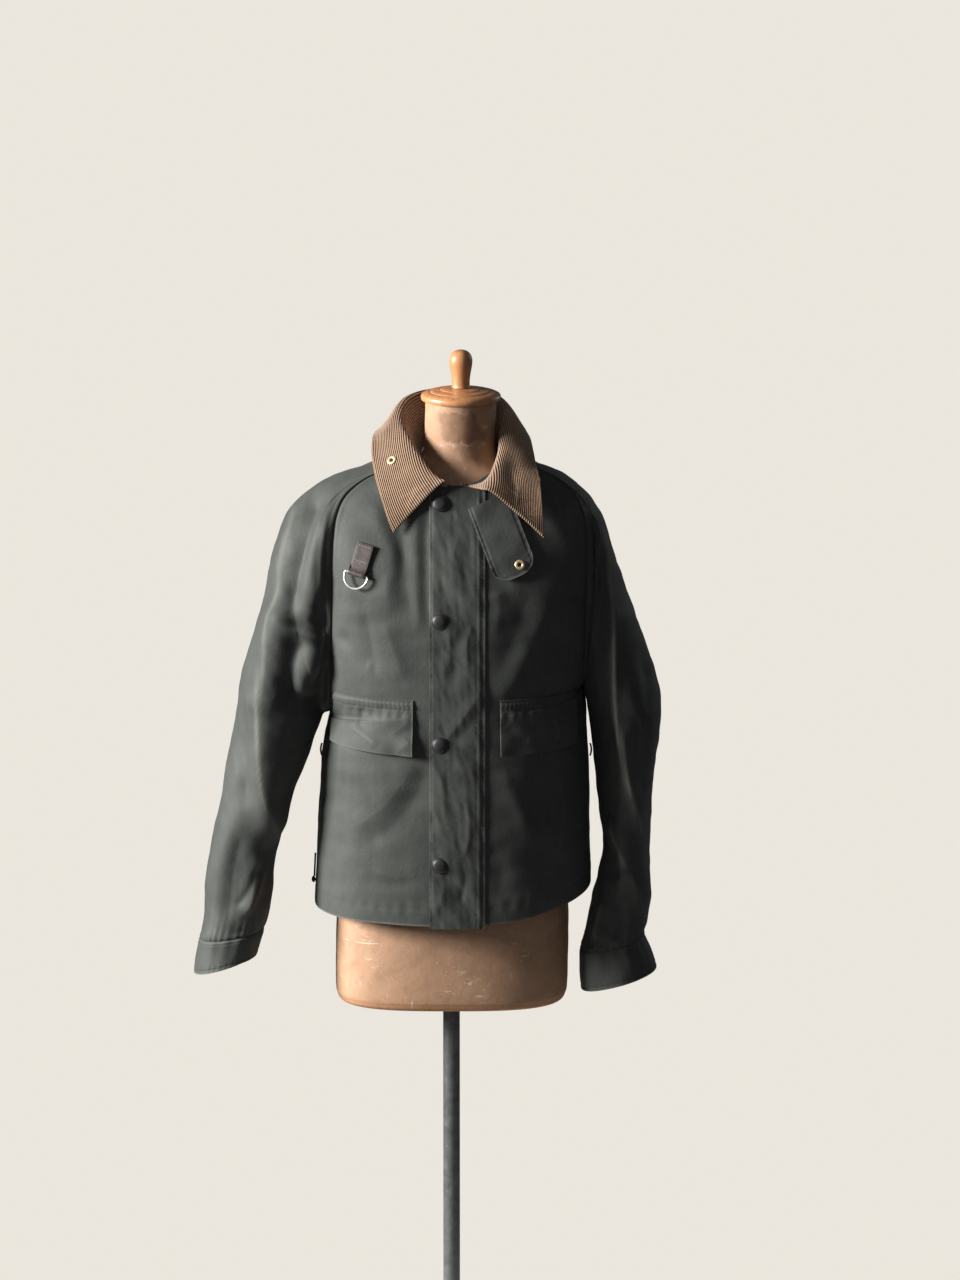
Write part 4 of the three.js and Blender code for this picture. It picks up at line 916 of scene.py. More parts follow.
def raglan_relief(distance, along, seed):
    """A felled seam on the sleeve's side: a low welt that ends in a row of stitches."""
    welt = 0.8 * ease(distance / 2) * (1 - ease((distance - RAGLAN_STITCH + 0.8) / 1.6))
    groove = -0.7 * bell(distance, 1.5)
    dip = -0.6 * bell(distance - RAGLAN_STITCH, 1.3)
    band = bell(distance - RAGLAN_STITCH, 6)
    return welt + groove + dip + band * puckers(along, seed, 9, 0.3)


def sleeve(side, name, node):
    u = np.arange(AROUND_STEPS) * RING / AROUND_STEPS
    rows = SLEEVE_ROWS[side]
    first = sleeve_oval(rows[0], side, u)
    seam = raglan_ring(side, u)
    shoulder = shoulder_grid(seam, first, side, u, SHOULDER_STEPS)
    places = np.linspace(0, len(rows) - 1, ARM_STEPS + 1)
    arm = sleeve_oval(sample(rows, places), side, u)
    grid = np.concatenate([shoulder, arm])
    normals = steady_normals(grid)
    from_seam = lengths_along(grid, 0)
    to_cuff = from_seam[-1:] - from_seam
    x, z = grid[..., 0], grid[..., 2]
    front, front_crest = fold_relief(SLEEVE_FRONT_FOLDS[side], x, z)
    back, back_crest = fold_relief(SLEEVE_BACK_FOLDS[side], x, z)
    facing = ease((0.3 - normals[..., 1]) / 0.6)
    square_on = ease(np.abs(normals[..., 1]) / 0.4)
    strength = bpy.context.scene.jacket_sizes.fold_strength
    height = lerp(back, front, facing) * square_on * strength
    level = bell(from_seam - LEVEL_FROM_SEAM, LEVEL_WIDTH)
    height = height - LEVEL_DEPTH * level * square_on
    height = height + undulation(grid, 41 + side, 80, 1.5) + undulation(grid, 51 + side, 30, 0.45)
    height = height * ease(from_seam / SEAM_FADE) * ease(to_cuff / 12)
    along_seam = lengths_along(np.repeat(seam[None], 2, 0), 1)[:1]
    height = height + raglan_relief(from_seam, along_seam, 61 + side) + seam_groove(to_cuff)
    height = height + np.exp(-to_cuff / 22) * puckers(along_seam * 0.55, 71 + side, 17, 0.9)
    wear = lerp(back_crest, front_crest, facing)
    outer = grid + normals * height[..., None]
    inner = outer - normals * SHELL
    # the seam allowance turns in under the front and back panels
    turned_in = np.array([-side * SLEEVE_SEAM_ALLOWANCE, 0, -2.0])
    whole = [np.concatenate([wall[:1] + turned_in, wall]) for wall in (outer, inner)]
    wear = np.concatenate([wear[:1], wear])
    piece = shell_object(name, *whole, wrap=True, fields={"wear": wear})
    finished(piece, "root", "wax_cloth", cloth_finish(), node)
    line = row_at(outer, from_seam, RAGLAN_STITCH)
    facing_line = row_at(normals, from_seam, RAGLAN_STITCH)
    return stitch_points(line, facing_line, *stitch_sizes())


CUFF_EDGE_STITCH = 5


def cuff(side, name, node):
    u = np.arange(AROUND_STEPS) * RING / AROUND_STEPS
    rows = CUFF_ROWS[side]
    places = np.linspace(0, len(rows) - 1, 44)
    grid = sleeve_oval(sample(rows, places), side, u)
    normals = outwards(grid_normals(grid, wrap=True), grid, grid.mean(1, keepdims=True))
    from_seam = lengths_along(grid, 0)
    to_edge = from_seam[-1:] - from_seam
    around = lengths_along(grid, 1)
    band = 0.9 * ease(from_seam / 2.5)
    dips = -0.5 * bell(from_seam - CUFF_EDGE_STITCH, 1.3)
    dips = dips - 0.5 * bell(to_edge - CUFF_EDGE_STITCH, 1.3)
    gather = puckers(around, 81 + side, 21, 0.55) * np.exp(-from_seam / 30)
    gather = gather + puckers(around, 83 + side, 8, 0.3) * bell(to_edge - 5, 7)
    height = band + dips + gather + seam_groove(from_seam) * 0.5
    height = height + undulation(grid, 85 + side, 42, 0.8) * ease(from_seam / 10)
    wear = 0.8 * bell(to_edge, 1.5) + 0.25 * bell(from_seam, 2)
    outer = grid + normals * height[..., None]
    inner = outer - normals * (SHELL + 0.6)
    piece = shell_object(name, outer, inner, wrap=True, fields={"wear": wear})
    finished(piece, "root", "wax_cloth", cloth_finish(), node)
    rows_of_stitches = []
    for distances in (from_seam, to_edge[::-1]):
        flipped = distances is not from_seam
        points = outer[::-1] if flipped else outer
        facing = normals[::-1] if flipped else normals
        line = row_at(points, distances, CUFF_EDGE_STITCH)
        rows_of_stitches.append(
            stitch_points(line, row_at(facing, distances, CUFF_EDGE_STITCH), *stitch_sizes())
        )
    return rows_of_stitches


# ---------------------------------------------------------------- collar
CORDUROY = 3.2
ROLL_RADIUS = 6
STAND_SHARE = 0.55
FALL_FULLNESS = 3
COLLAR_SEAM_ALLOWANCE = 6
RIGHT_LEAF_LIFT = LAID_GAP + CORDUROY / 2 + 0.8
LEFT_LEAF_LIFT = FLAP_LIFT + LAID_GAP + CORDUROY / 2


def centripetal(points, shares):
    """Even shares of the length of a centripetal curve through points."""
    ends = [2 * points[0] - points[1], *points, 2 * points[-1] - points[-2]]
    fine = np.linspace(0, 1, 24, endpoint=False)[:, None]
    drawn = []
    for p0, p1, p2, p3 in zip(ends, ends[1:], ends[2:], ends[3:]):
        d0, d1, d2 = (max(np.linalg.norm(b - a), 1e-6) ** 0.5 for a, b in ((p0, p1), (p1, p2), (p2, p3)))
        into = ((p1 - p0) / d0 - (p2 - p0) / (d0 + d1) + (p2 - p1) / d1) * d1
        outof = ((p2 - p1) / d1 - (p3 - p1) / (d1 + d2) + (p3 - p2) / d2) * d1
        t = fine
        curve = (2 * t**3 - 3 * t**2 + 1) * p1 + (t**3 - 2 * t**2 + t) * into
        drawn.append(curve + (3 * t**2 - 2 * t**3) * p2 + (t**3 - t**2) * outof)
    drawn = np.concatenate([*drawn, [points[-1]]])
    steps = lengths_along(drawn[None], 1)[0]
    at = shares * steps[-1]
    return np.stack([np.interp(at, steps, drawn[:, k]) for k in range(3)], -1)


def collar_line(row, shares):
    """Across the collar: neckline, stand, roll, fall and free edge."""
    neck, roll, edge = row[:3], row[3:6], row[6:]
    up, out = roll - neck, edge - roll
    sideways = np.array([out[0], out[1], 0.0])
    sideways = sideways / np.linalg.norm(sideways)
    reach = min(ROLL_RADIUS, np.linalg.norm(up) * 0.4)
    lifted = up / np.linalg.norm(up)
    points = [
        neck - lifted * COLLAR_SEAM_ALLOWANCE,
        neck + up * STAND_SHARE,
        roll - lifted * reach - sideways * reach * 0.35,
        roll,
        roll + sideways * reach * 1.1 - np.array([0, 0, reach * 0.5]),
        roll + out * 0.5 + sideways * FALL_FULLNESS,
        edge,
    ]
    return centripetal(points, shares)


def clear_of_chest(grid, shares):
    """Keeps the middle of the leaves off the chest and what lies on it."""
    moved = grid
    for evening in (24, 8):
        moved = smoothed(off_chest(moved, shares), evening)
    return moved


def off_chest(grid, shares):
    moved = grid.copy()
    leaf = (grid[..., 1] <= -20) & (shares[None, :] >= 0.5)
    points = grid[leaf]
    lift = lerp(RIGHT_LEAF_LIFT, LEFT_LEAF_LIFT, ease((points[:, 0] + 10) / 30))
    share = np.broadcast_to(shares[None, :], grid.shape[:2])[leaf]
    eased_in = ease((share - 0.5) / 0.22)
    for _ in range(4):
        normal = front_normal(points[:, 0], points[:, 2])
        height = np.sum((points - front_at(points[:, 0], points[:, 2])) * normal, -1)
        points = points + normal * (np.maximum(lift - height, 0) * eased_in)[:, None]
    moved[leaf] = points
    return moved


def smoothed(grid, passes):
    """A grid with its small steps evened out, its edges kept where they are."""
    even = grid.copy()
    for _ in range(passes):
        beside = (even[:-2, 1:-1] + even[2:, 1:-1] + even[1:-1, :-2] + even[1:-1, 2:]) / 4
        even[1:-1, 1:-1] = lerp(even[1:-1, 1:-1], beside, 0.5)
    return even


def refined(grid, rows, columns):
    """A grid drawn finer on smooth curves through its points."""
    tall, wide = grid.shape[:2]
    up = sample(grid.reshape(tall, -1), np.linspace(0, tall - 1, rows)).reshape(rows, wide, 3)
    turned = np.moveaxis(up, 1, 0).reshape(wide, -1)
    fine = sample(turned, np.linspace(0, wide - 1, columns)).reshape(columns, rows, 3)
    return np.moveaxis(fine, 0, 1)


COLLAR_AROUND = 216
COLLAR_ACROSS = 212
LEAF_EDGE_ROUND = 2.4


def collar_grid():
    """The middle of the collar's cloth, coarse first, then drawn finer."""
    shares = np.linspace(0, 1, 44)
    places = np.linspace(0, len(COLLAR_ROWS) - 1, 86)
    coarse = np.stack([collar_line(sample(COLLAR_ROWS, place), shares) for place in places])
    return refined(clear_of_chest(coarse, shares), COLLAR_AROUND, COLLAR_ACROSS)


EDGE_EVENING_PASSES = 120


def collar():
    sizes = bpy.context.scene.jacket_sizes
    pitch, rise = sizes.wale_pitch / MM, sizes.wale_height / MM
    grid = collar_grid()
    normals = grid_normals(grid)
    # the top face is the one that looks up and out on the leaves
    if normals[:, -20:, 2].mean() < 0:
        normals = -normals
    to_edge = lengths_along(grid[:, ::-1], 1)[:, ::-1]
    for _ in range(EDGE_EVENING_PASSES):
        to_edge[1:-1] = lerp(to_edge[1:-1], (to_edge[:-2] + to_edge[2:]) / 2, 0.5)
    along = lengths_along(grid, 0)
    from_end = np.minimum(along, along[-1:] - along)
    wander = 0.35 * np.sin(along / 17) + 0.25 * np.sin(along / 41 + to_edge / 23)
    turn = 2 * math.pi * (to_edge + wander) / pitch
    wale = 1 - ((1 - np.cos(turn)) / 2) ** 2.2
    x, z = grid[..., 0], grid[..., 2]
    crease, crest = fold_relief(LEAF_CREASES, x, z)
    on_front = ease((-20 - grid[..., 1]) / 20)
    swell = undulation(grid, 91, 55, 0.9) * ease(to_edge / 15)
    rounding = ease(np.minimum(to_edge, from_end) / LEAF_EDGE_ROUND + 0.25)
    top = CORDUROY / 2 * rounding - rise + wale * rise + crease * on_front
    outer = grid + normals * (top + swell)[..., None]
    inner = grid + normals * (swell - CORDUROY / 2 * rounding)[..., None]
    # each wale's end stands a little proud of the leaf's front edge
    for end, beside in ((0, 1), (-1, -2)):
        away = unit(outer[end] - outer[beside])
        outer[end] += away * (wale[end] * 0.7)[:, None]
    fields = {"wale": wale, "wear": crest * on_front}
    piece = shell_object("collar_cloth", outer, inner, fields=fields, sharp=80)
    finished(piece, "root", "corduroy", finish_once("corduroy", corduroy), "collar")
    return grid, normals


# ---------------------------------------------------------------- pieces laid on the fronts
def laid_shell(name, x, z, lift, own_relief, wear, thickness=SHELL):
    """A cloth piece that lies on the fronts and follows their folds."""
    relief = front_relief(x, z)[0]
    outer = over_front(x, z, lift + relief + own_relief)
    normals = front_normal(x, z)
    piece = shell_object(name, outer, outer - normals * thickness, fields={"wear": wear})
    return piece, outer, normals


FLY_STITCHES = [-27, 36.5, 44]
FLY_ROWS, FLY_COLUMNS = 230, 52
FLY_BAND_X, FLY_BAND_WIDTH = 40.2, 4.2
FLY_LEFT_BAND_X, FLY_LEFT_BAND_WIDTH = -27, 3


def storm_fly():
    rows, columns = FLY_ROWS, FLY_COLUMNS
    z = np.linspace(FLY_BOTTOM_Z, FLY_TOP_Z, rows)[:, None] + np.zeros(columns)
    x = np.zeros((rows, 1)) + np.linspace(FLY_LEFT_X, FLY_RIGHT_X, columns)
    height, crest = fold_relief(FLY_FOLDS, x, z)
    flat = np.stack([x, 0 * x, z], -1)
    height = height + undulation(flat, 101, 36, 0.7) + undulation(flat, 102, 15, 0.25)
    inside_edge = ease((x - FLY_LEFT_X) / 6) * ease((FLY_RIGHT_X - x) / 6)
    height = height * (0.35 + 0.65 * inside_edge)
    for line_x in FLY_STITCHES:
        height = height - 0.45 * bell(x - line_x, 1.2)
    band = bell(x - FLY_BAND_X, FLY_BAND_WIDTH)
    height = height + band * puckers(z + (x - 40) * 0.8, 103, 7.5, 0.42)
    left_band = bell(x - FLY_LEFT_BAND_X, FLY_LEFT_BAND_WIDTH)
    height = height + left_band * puckers(z, 104, 11, 0.2)
    lift = lerp(FLY_LIFT, SHELL + 0.15, ease((x - 38) / 9))
    wear = np.maximum(crest, bell(x - FLY_LEFT_X, 1.3))
    wear = np.maximum(wear, 0.35 * bell(x - FLY_RIGHT_X, 1.2))
    piece, outer, normals = laid_shell("storm_fly_cloth", x, z, lift, height, wear)
    finished(piece, "root", "wax_cloth", cloth_finish(), "storm_fly")
    rows_of_stitches = []
    for line_x in FLY_STITCHES:
        column = int(round((line_x - FLY_LEFT_X) / (FLY_RIGHT_X - FLY_LEFT_X) * (columns - 1)))
        rows_of_stitches.append(stitch_points(outer[:, column], normals[:, column], *stitch_sizes()))
    return rows_of_stitches


THROAT_TOP = np.array([52.0, 1380.0])
THROAT_END = np.array([93.0, 1278.0])
THROAT_HALF_WIDTH = 30
THROAT_CORNER = 22
THROAT_EYELET = (96, 1294)


def throat_flap():
    rows, columns = 90, 64
    v = np.linspace(0, 1, rows)[:, None]
    s = np.linspace(-1, 1, columns)[None, :]
    along = THROAT_END - THROAT_TOP
    length = np.linalg.norm(along)
    along = along / length
    aside = np.array([-along[1], along[0]])
    rounding = THROAT_CORNER * (1 - np.sqrt(1 - np.abs(s) ** 3))
    down = v * length - rounding * v**3
    x = THROAT_TOP[0] + along[0] * down + aside[0] * s * THROAT_HALF_WIDTH
    z = THROAT_TOP[1] + along[1] * down + aside[1] * s * THROAT_HALF_WIDTH
    to_edge = np.minimum((1 - np.abs(s)) * THROAT_HALF_WIDTH + 0 * v, (1 - v) * length + 0 * s)
    flat = np.stack([x, 0 * x, z], -1)
    height = undulation(flat, 111, 40, 0.7) * ease(to_edge / 8)
    height = height - 0.45 * bell(to_edge - 4, 1.2)
    height = height + bell(to_edge, 5) * puckers(down, 112, 9, 0.25)
    wear = bell(to_edge, 1.1)
    lift = FLAP_LIFT + 0.8 * v**2 + 0 * s
    piece, _, _ = laid_shell("throat_flap_cloth", x, z, lift, height, wear)
    finished(piece, "root", "wax_cloth", cloth_finish(), "throat_flap")


POCKET_INNER_X = 61
POCKET_TOP_Z = 1104
POCKET_BOTTOM_Z = (1025, 1032)
POCKET_OUTER_X = {-1: 171, 1: 166}
POCKET_STITCHES = (3.5, 14.5)
POCKET_STAND_OFF = 4
POCKET_SIDE_LIFT = 1.2


def pocket_flap(side, name, node):
    rows, columns = 56, 96
    u = np.linspace(0, 1, columns)[None, :]
    v = np.linspace(0, 1, rows)[:, None]
    share = np.sin(u * math.pi / 2)
    x = middle_x(POCKET_TOP_Z) + side * lerp(POCKET_INNER_X, POCKET_OUTER_X[side], share) + 0 * v
    z = lerp(lerp(*POCKET_BOTTOM_Z, u), POCKET_TOP_Z, v)
    from_top = POCKET_TOP_Z - z
    across = np.abs(x - x[:, :1])
    height, crest = fold_relief(POCKET_FOLDS, x, z)
    flat = np.stack([x, 0 * x, z], -1)
    height = height + undulation(flat, 121 + side, 30, 0.6) * ease((1 - v) * 4)
    for distance in POCKET_STITCHES:
        height = height - 0.55 * bell(from_top - distance, 1.2)
    band = bell(from_top - 9, 6)
    zigzag = across + 0.35 * np.abs((from_top % 11) - 5.5)
    height = height + band * puckers(zigzag, 123 + side, 6.4, 0.5)
    below = bell(from_top - 22, 7)
    height = height + below * puckers(across, 125 + side, 15, 0.5)
    corner = ease(1 - across / 26) * ease(1 - v * 2)
    sewn = ease((v - 0.9) / 0.1)
    lift = FLY_LIFT + POCKET_STAND_OFF * (1 - v) + POCKET_SIDE_LIFT * u + 3.5 * corner
    lift = lerp(lift, SHELL + 0.2, sewn)
    edge = np.minimum(across, (v * (POCKET_TOP_Z - POCKET_BOTTOM_Z[0])) + 0 * across)
    inner_edge = 0.8 * bell(across, 1.3)
    wear = np.maximum(np.maximum(crest, inner_edge), 0.2 * bell(edge, 1.3))
    piece, outer, normals = laid_shell(name, x, z, lift, height, wear)
    finished(piece, "root", "wax_cloth", cloth_finish(), node)
    rows_of_stitches = []
    for distance in POCKET_STITCHES:
        line = row_at(outer[::-1], from_top[::-1], distance)
        facing = row_at(normals[::-1], from_top[::-1], distance)
        rows_of_stitches.append(stitch_points(line, facing, *stitch_sizes()))
    return rows_of_stitches


# ---------------------------------------------------------------- metal and leather trims
SNAP_PROFILE = [
    (0, 0), (10.6, 0), (11.5, 0.3), (11.8, 0.9), (11.7, 1.5), (11.2, 1.9), (10.6, 2.0),
    (10.2, 1.85), (9.9, 2.1), (9.2, 2.7), (8.0, 3.35), (6.5, 3.9), (4.8, 4.3), (2.6, 4.55), (0, 4.6),
]
EYELET_PROFILE = [
    (2.6, 0.0), (6.7, 0.0), (7.0, 0.3), (6.9, 0.6), (6.2, 1.1), (5.2, 1.35), (4.2, 1.3),
    (3.2, 1.0), (2.7, 0.6),
]


def snap_caps():
    material = finish_once("black_enamel", black_enamel)
    for number, z in enumerate(SNAP_HEIGHTS, 1):
        normal = front_normal(np.array(SNAP_X), np.array(z))
        origin = over_front(np.array(SNAP_X), np.array(z), FLY_LIFT + 0.1)
        points, faces = spin_points(SNAP_PROFILE, 64)
        points = placed(points, origin, *axes_on(normal))
        piece = mesh_object(f"snap_dome_{number}", points, faces)
        finished(piece, "root", "black_enamel", material, f"snap_cap_{number}")


def eyelet(name, node, origin, normal):
    points, faces = ring_points(EYELET_PROFILE, 56)
    points = placed(points, origin, *axes_on(normal))
    piece = mesh_object(name, points, faces)
    finished(piece, "root", "eyelet_brass", finish_once("eyelet_brass", eyelet_brass), node)
    dark, dark_faces = spin_points([(0, 0), (2.7, 0), (2.7, 0.25), (0, 0.25)], 32)
    hole = mesh_object(name + "_hole", placed(dark, origin, *axes_on(normal)), dark_faces)
    finished(hole, "root", "black_cord", finish_once("eyelet_shadow", eyelet_shadow))


RING_WIRE = 3
RING_WIDTH = 38
RING_DROP = 24
TAB_WIDTH = 25
TAB_LENGTH = 44
TAB_LEATHER = 1.9
TAB_GAP = 0.4
LOOP_BORE = RING_WIRE / 2 + 0.45
LOOP_OUTER = LOOP_BORE + TAB_LEATHER


def tab_axes():
    """The tab's foot, and its axes across its width, up its length and off the chest."""
    x, z = np.array(float(TAB_X)), np.array(float(TAB_Z))
    normal = front_normal(x, z)
    across, up, _ = axes_on(normal, (TAB_SLANT, 0, 1))
    foot = over_front(x, z, TAB_GAP) - up * TAB_LENGTH / 2
    return foot, across, up, normal


def tab_section():
    """The outline of the folded strap seen from its side: up the tab, and off the chest."""
    thick = 2 * TAB_LEATHER
    crown = [(TAB_LENGTH, 0.3), (TAB_LENGTH + 0.2, thick / 2), (TAB_LENGTH, thick - 0.3)]
    face = [(TAB_LENGTH - 0.6, thick), (TAB_LENGTH * 0.7, thick), (TAB_LENGTH * 0.4, thick)]
    face += [(LOOP_OUTER * 2.4, thick), (LOOP_OUTER * 1.6, thick + 0.15)]
    turn = []
    for angle in np.linspace(math.pi * 0.28, math.pi * 1.5, 22):
        turn.append((LOOP_OUTER * math.cos(angle), LOOP_OUTER + LOOP_OUTER * math.sin(angle)))
    back = [(TAB_LENGTH * 0.3, 0), (TAB_LENGTH * 0.7, 0), (TAB_LENGTH - 0.5, 0)]
    return np.array(crown + face + turn + back)


def ring_tab():
    foot, across, up, normal = tab_axes()
    section = tab_section()
    widths = TAB_WIDTH / 2 * np.array([-1, -0.985, -0.94, -0.6, 0, 0.6, 0.94, 0.985, 1])
    shrink = np.array([0.86, 0.95, 1, 1, 1, 1, 1, 0.95, 0.86])
    points = []
    for width, scale in zip(widths, shrink):
        off = (section[:, 1] - TAB_LEATHER) * scale + TAB_LEATHER
        points.append(np.stack([np.full(len(section), width), section[:, 0], off], -1))
    points = np.array(points)
    rows, columns = points.shape[:2]
    flat = placed(points.reshape(-1, 3), foot, across, up, normal)
    faces = grid_quads(rows, columns, True)
    triangles = [faces[:, [0, 1, 2]], faces[:, [0, 2, 3]]]
    centres = []
    for row, start in ((0, 0), (rows - 1, (rows - 1) * columns)):
        centre = len(flat) + len(centres)
        middle = np.array([[widths[row], TAB_LENGTH * 0.45, TAB_LEATHER]])
        centres.append(placed(middle, foot, across, up, normal)[0])
        i = np.arange(columns)
        right = (i + 1) % columns
        fan = [np.full(columns, centre), start + right, start + i]
        triangles.append(np.stack(fan if row == 0 else [fan[0], fan[2], fan[1]], -1))
    flat = np.concatenate([flat, centres])
    piece = mesh_object("leather_tab", flat, np.concatenate(triangles), sharp=38)
    finished(piece, "root", "tab_leather", finish_once("tab_leather", tab_leather), "ring_tab")
    rows_of_stitches = []
    thick = 2 * TAB_LEATHER + 0.12
    for height in (TAB_LENGTH - 4, TAB_LENGTH * 0.42):
        line = np.stack([np.linspace(-10, 10, 9), np.full(9, height), np.full(9, thick)], -1)
        line = placed(line, foot, across, up, normal)
        facing = np.repeat(normal[None], 9, 0)
        rows_of_stitches.append(stitch_points(line, facing, 1.9, 0.9, 0.38))
    points, faces = joined(rows_of_stitches)
    thread = mesh_object("tab_stitches", points, faces, sharp=0)
    finished(thread, "root", "tab_leather", finish_once("pale_thread", pale_thread))


def d_ring():
    foot, across, up, normal = tab_axes()
    half = (RING_WIDTH - RING_WIRE) / 2
    drop = RING_DROP - RING_WIRE
    corner = 3
    line = []
    for angle in np.linspace(0, math.pi, 49):
        line.append((half * math.cos(angle), -corner - (drop - corner) * math.sin(angle)))
    for angle in np.linspace(math.pi, math.pi / 2, 9)[1:]:
        line.append((-half + corner + corner * math.cos(angle), -corner + corner * math.sin(angle)))
    line += [(x, 0) for x in np.linspace(-half + corner, half - corner, 12)[1:-1]]
    for angle in np.linspace(math.pi / 2, 0, 9)[:-1]:
        line.append((half - corner + corner * math.cos(angle), -corner + corner * math.sin(angle)))
    line = np.array([(x, y, LOOP_OUTER) for x, y in line])
    tangent = unit(np.roll(line, -1, 0) - np.roll(line, 1, 0))
    beside = np.stack([-tangent[:, 1], tangent[:, 0], 0 * tangent[:, 0]], -1)
    angle = np.arange(18) * 2 * math.pi / 18
    off = np.cos(angle)[None, :, None] * beside[:, None]
    off = off + np.sin(angle)[None, :, None] * np.array([0, 0, 1.0])
    points = (line[:, None] + RING_WIRE / 2 * off).reshape(-1, 3)
    faces = grid_quads(len(line) + 1, 18, True) % len(points)
    piece = mesh_object("nickel_ring", placed(points, foot, across, up, normal), faces)
    finished(piece, "d_ring", "ring_nickel", finish_once("ring_nickel", ring_nickel), "d_ring")


# ---------------------------------------------------------------- cords
CORD_RADIUS = 1.3
CORD_STAND_OFF = 0.9
HEM_CORD_TOP_Z = 848
HEM_CORD_LENGTH = 34
KNOT_LENGTH = 9
SIDE_LOOP_Z = 1000
SEAM_GAP = 0.3


def side_seam_x(side, z):
    places = np.linspace(0, UNDERARM_ROW, 400)
    edge = front_point(side, places, 1.0)
    return np.interp(z, edge[:, 2], edge[:, 0])


def hem_cord():
    stand = CORD_RADIUS + CORD_STAND_OFF
    curve = bpy.data.curves.new("hem_cord_line", "CURVE")
    curve.dimensions = "3D"
    curve.bevel_depth = CORD_RADIUS * MM
    curve.bevel_resolution = 4
    curve.use_fill_caps = True
    spline = curve.splines.new("POLY")
    steps = np.linspace(0, HEM_CORD_LENGTH, 18)
    spline.points.add(len(steps) - 1)
    for point, down in zip(spline.points, steps):
        z = HEM_CORD_TOP_Z - down
        point.co = ((side_seam_x(-1, z) - stand) * MM, 0, z * MM, 1)
    cord = bpy.data.objects.new("hem_draw_cord", curve)
    bpy.context.scene.collection.objects.link(cord)
    material = finish_once("black_cord", black_cord)
    finished(cord, "root", "black_cord", material, "hem_cord")
    foot_z = HEM_CORD_TOP_Z - HEM_CORD_LENGTH - KNOT_LENGTH - SEAM_GAP
    profile = [(0, 0), (1.3, 0.3), (1.9, 1.2), (2.7, 2.8), (2.9, 4.4), (2.8, 5.8), (2.2, 7.3)]
    profile += [(1.5, 8.5), (1.35, 9.3), (0, 9.4)]
    points, faces = spin_points(profile, 28)
    points = points + [side_seam_x(-1, foot_z) - stand - 0.9, 0, foot_z]
    knot = mesh_object("hem_knot", points, faces)
    finished(knot, "root", "black_cord", material, "hem_cord_knot")


def side_loops():
    material = finish_once("black_cord", black_cord)
    for side, word in ((-1, "right"), (1, "left")):
        seat = side_seam_x(side, SIDE_LOOP_Z) + side * CORD_STAND_OFF
        knots = np.array([(1.3, 9), (2.38, 6.75), (3.4, 0), (2.38, -6.75), (1.3, -9)], float)
        line = sample(knots, np.linspace(0, 4, 40))
        line = np.stack([seat + side * line[:, 0], 0 * line[:, 0], SIDE_LOOP_Z + line[:, 1]], -1)
        points, faces = tube_points(line, CORD_RADIUS, 16)
        piece = mesh_object(f"cord_loop_{word}", points, faces)
        finished(piece, "root", "black_cord", material, f"side_loop_{word}")


# ---------------------------------------------------------------- form and stand
FORM_STEPS_AROUND = 144
FORM_FOOT_ROWS = 3  # the rows that round the foot's edge
POLE_RADIUS = 12
POLE_FOOT_Z = 16.3
POLE_TOP_Z = 699.7
SOCKET_RADIUS = POLE_RADIUS + SEAM_GAP
SOCKET_TOP_Z = POLE_TOP_Z + SEAM_GAP


def form_torso():
    """The torso and neck, smooth and whole, with small dents of a hand-laid cover."""
    around = FORM_STEPS_AROUND
    foot = np.linspace(0, FORM_FOOT_ROWS, 16)[:-1]
    places = np.concatenate([foot, np.linspace(FORM_FOOT_ROWS, len(FORM_ROWS) - 1, 130)])
    row = sample(FORM_ROWS, places)
    z, half, front, back, power = (row[:, k, None] for k in range(5))
    angle = np.arange(around)[None, :] * 2 * math.pi / around
    wide = signed_power(np.cos(angle), 2 / power)
    deep = signed_power(np.sin(angle), 2 / power)
    lean = NECK_LEAN_X * (z - FORM_FOOT_Z) / (NECK_TOP_Z - FORM_FOOT_Z)
    grid = np.stack([lean + half * wide, np.where(deep < 0, front, back) * deep, z + 0 * deep], -1)
    normals = outwards(grid_normals(grid, wrap=True), grid, grid.mean(1, keepdims=True))
    calm = ease((z - 655) / 20) * ease((NECK_TOP_Z - z) / 8)
    dents = (undulation(grid, 131, 60, 0.35) + undulation(grid, 132, 14, 0.12)) * calm
    grid = grid + normals * dents[..., None]
    circle = SOCKET_RADIUS * np.stack([np.cos(angle[0]), np.sin(angle[0]), 0 * angle[0]], -1)
    socket = np.stack([circle + [0, 0, SOCKET_TOP_Z], circle + [0, 0, FORM_FOOT_Z]])
    grid = np.concatenate([socket, grid])
    points = grid.reshape(-1, 3)
    faces = grid_quads(len(grid), around, True)
    triangles = [faces[:, [0, 1, 2]], faces[:, [0, 2, 3]]]
    ends = np.array([[0, 0, SOCKET_TOP_Z], [NECK_LEAN_X, 0, NECK_TOP_Z]])
    points = np.concatenate([points, ends])
    i = np.arange(around)
    right = (i + 1) % around
    last = (len(grid) - 1) * around
    bottom, top = len(points) - 2, len(points) - 1
    triangles.append(np.stack([np.full(around, bottom), right, i], -1))
    triangles.append(np.stack([np.full(around, top), last + i, last + right], -1))
    piece = mesh_object("form_torso", points, np.concatenate(triangles), sharp=55)
    finished(piece, "root", "form_cover", finish_once("form_cover", form_cover), "dress_form")


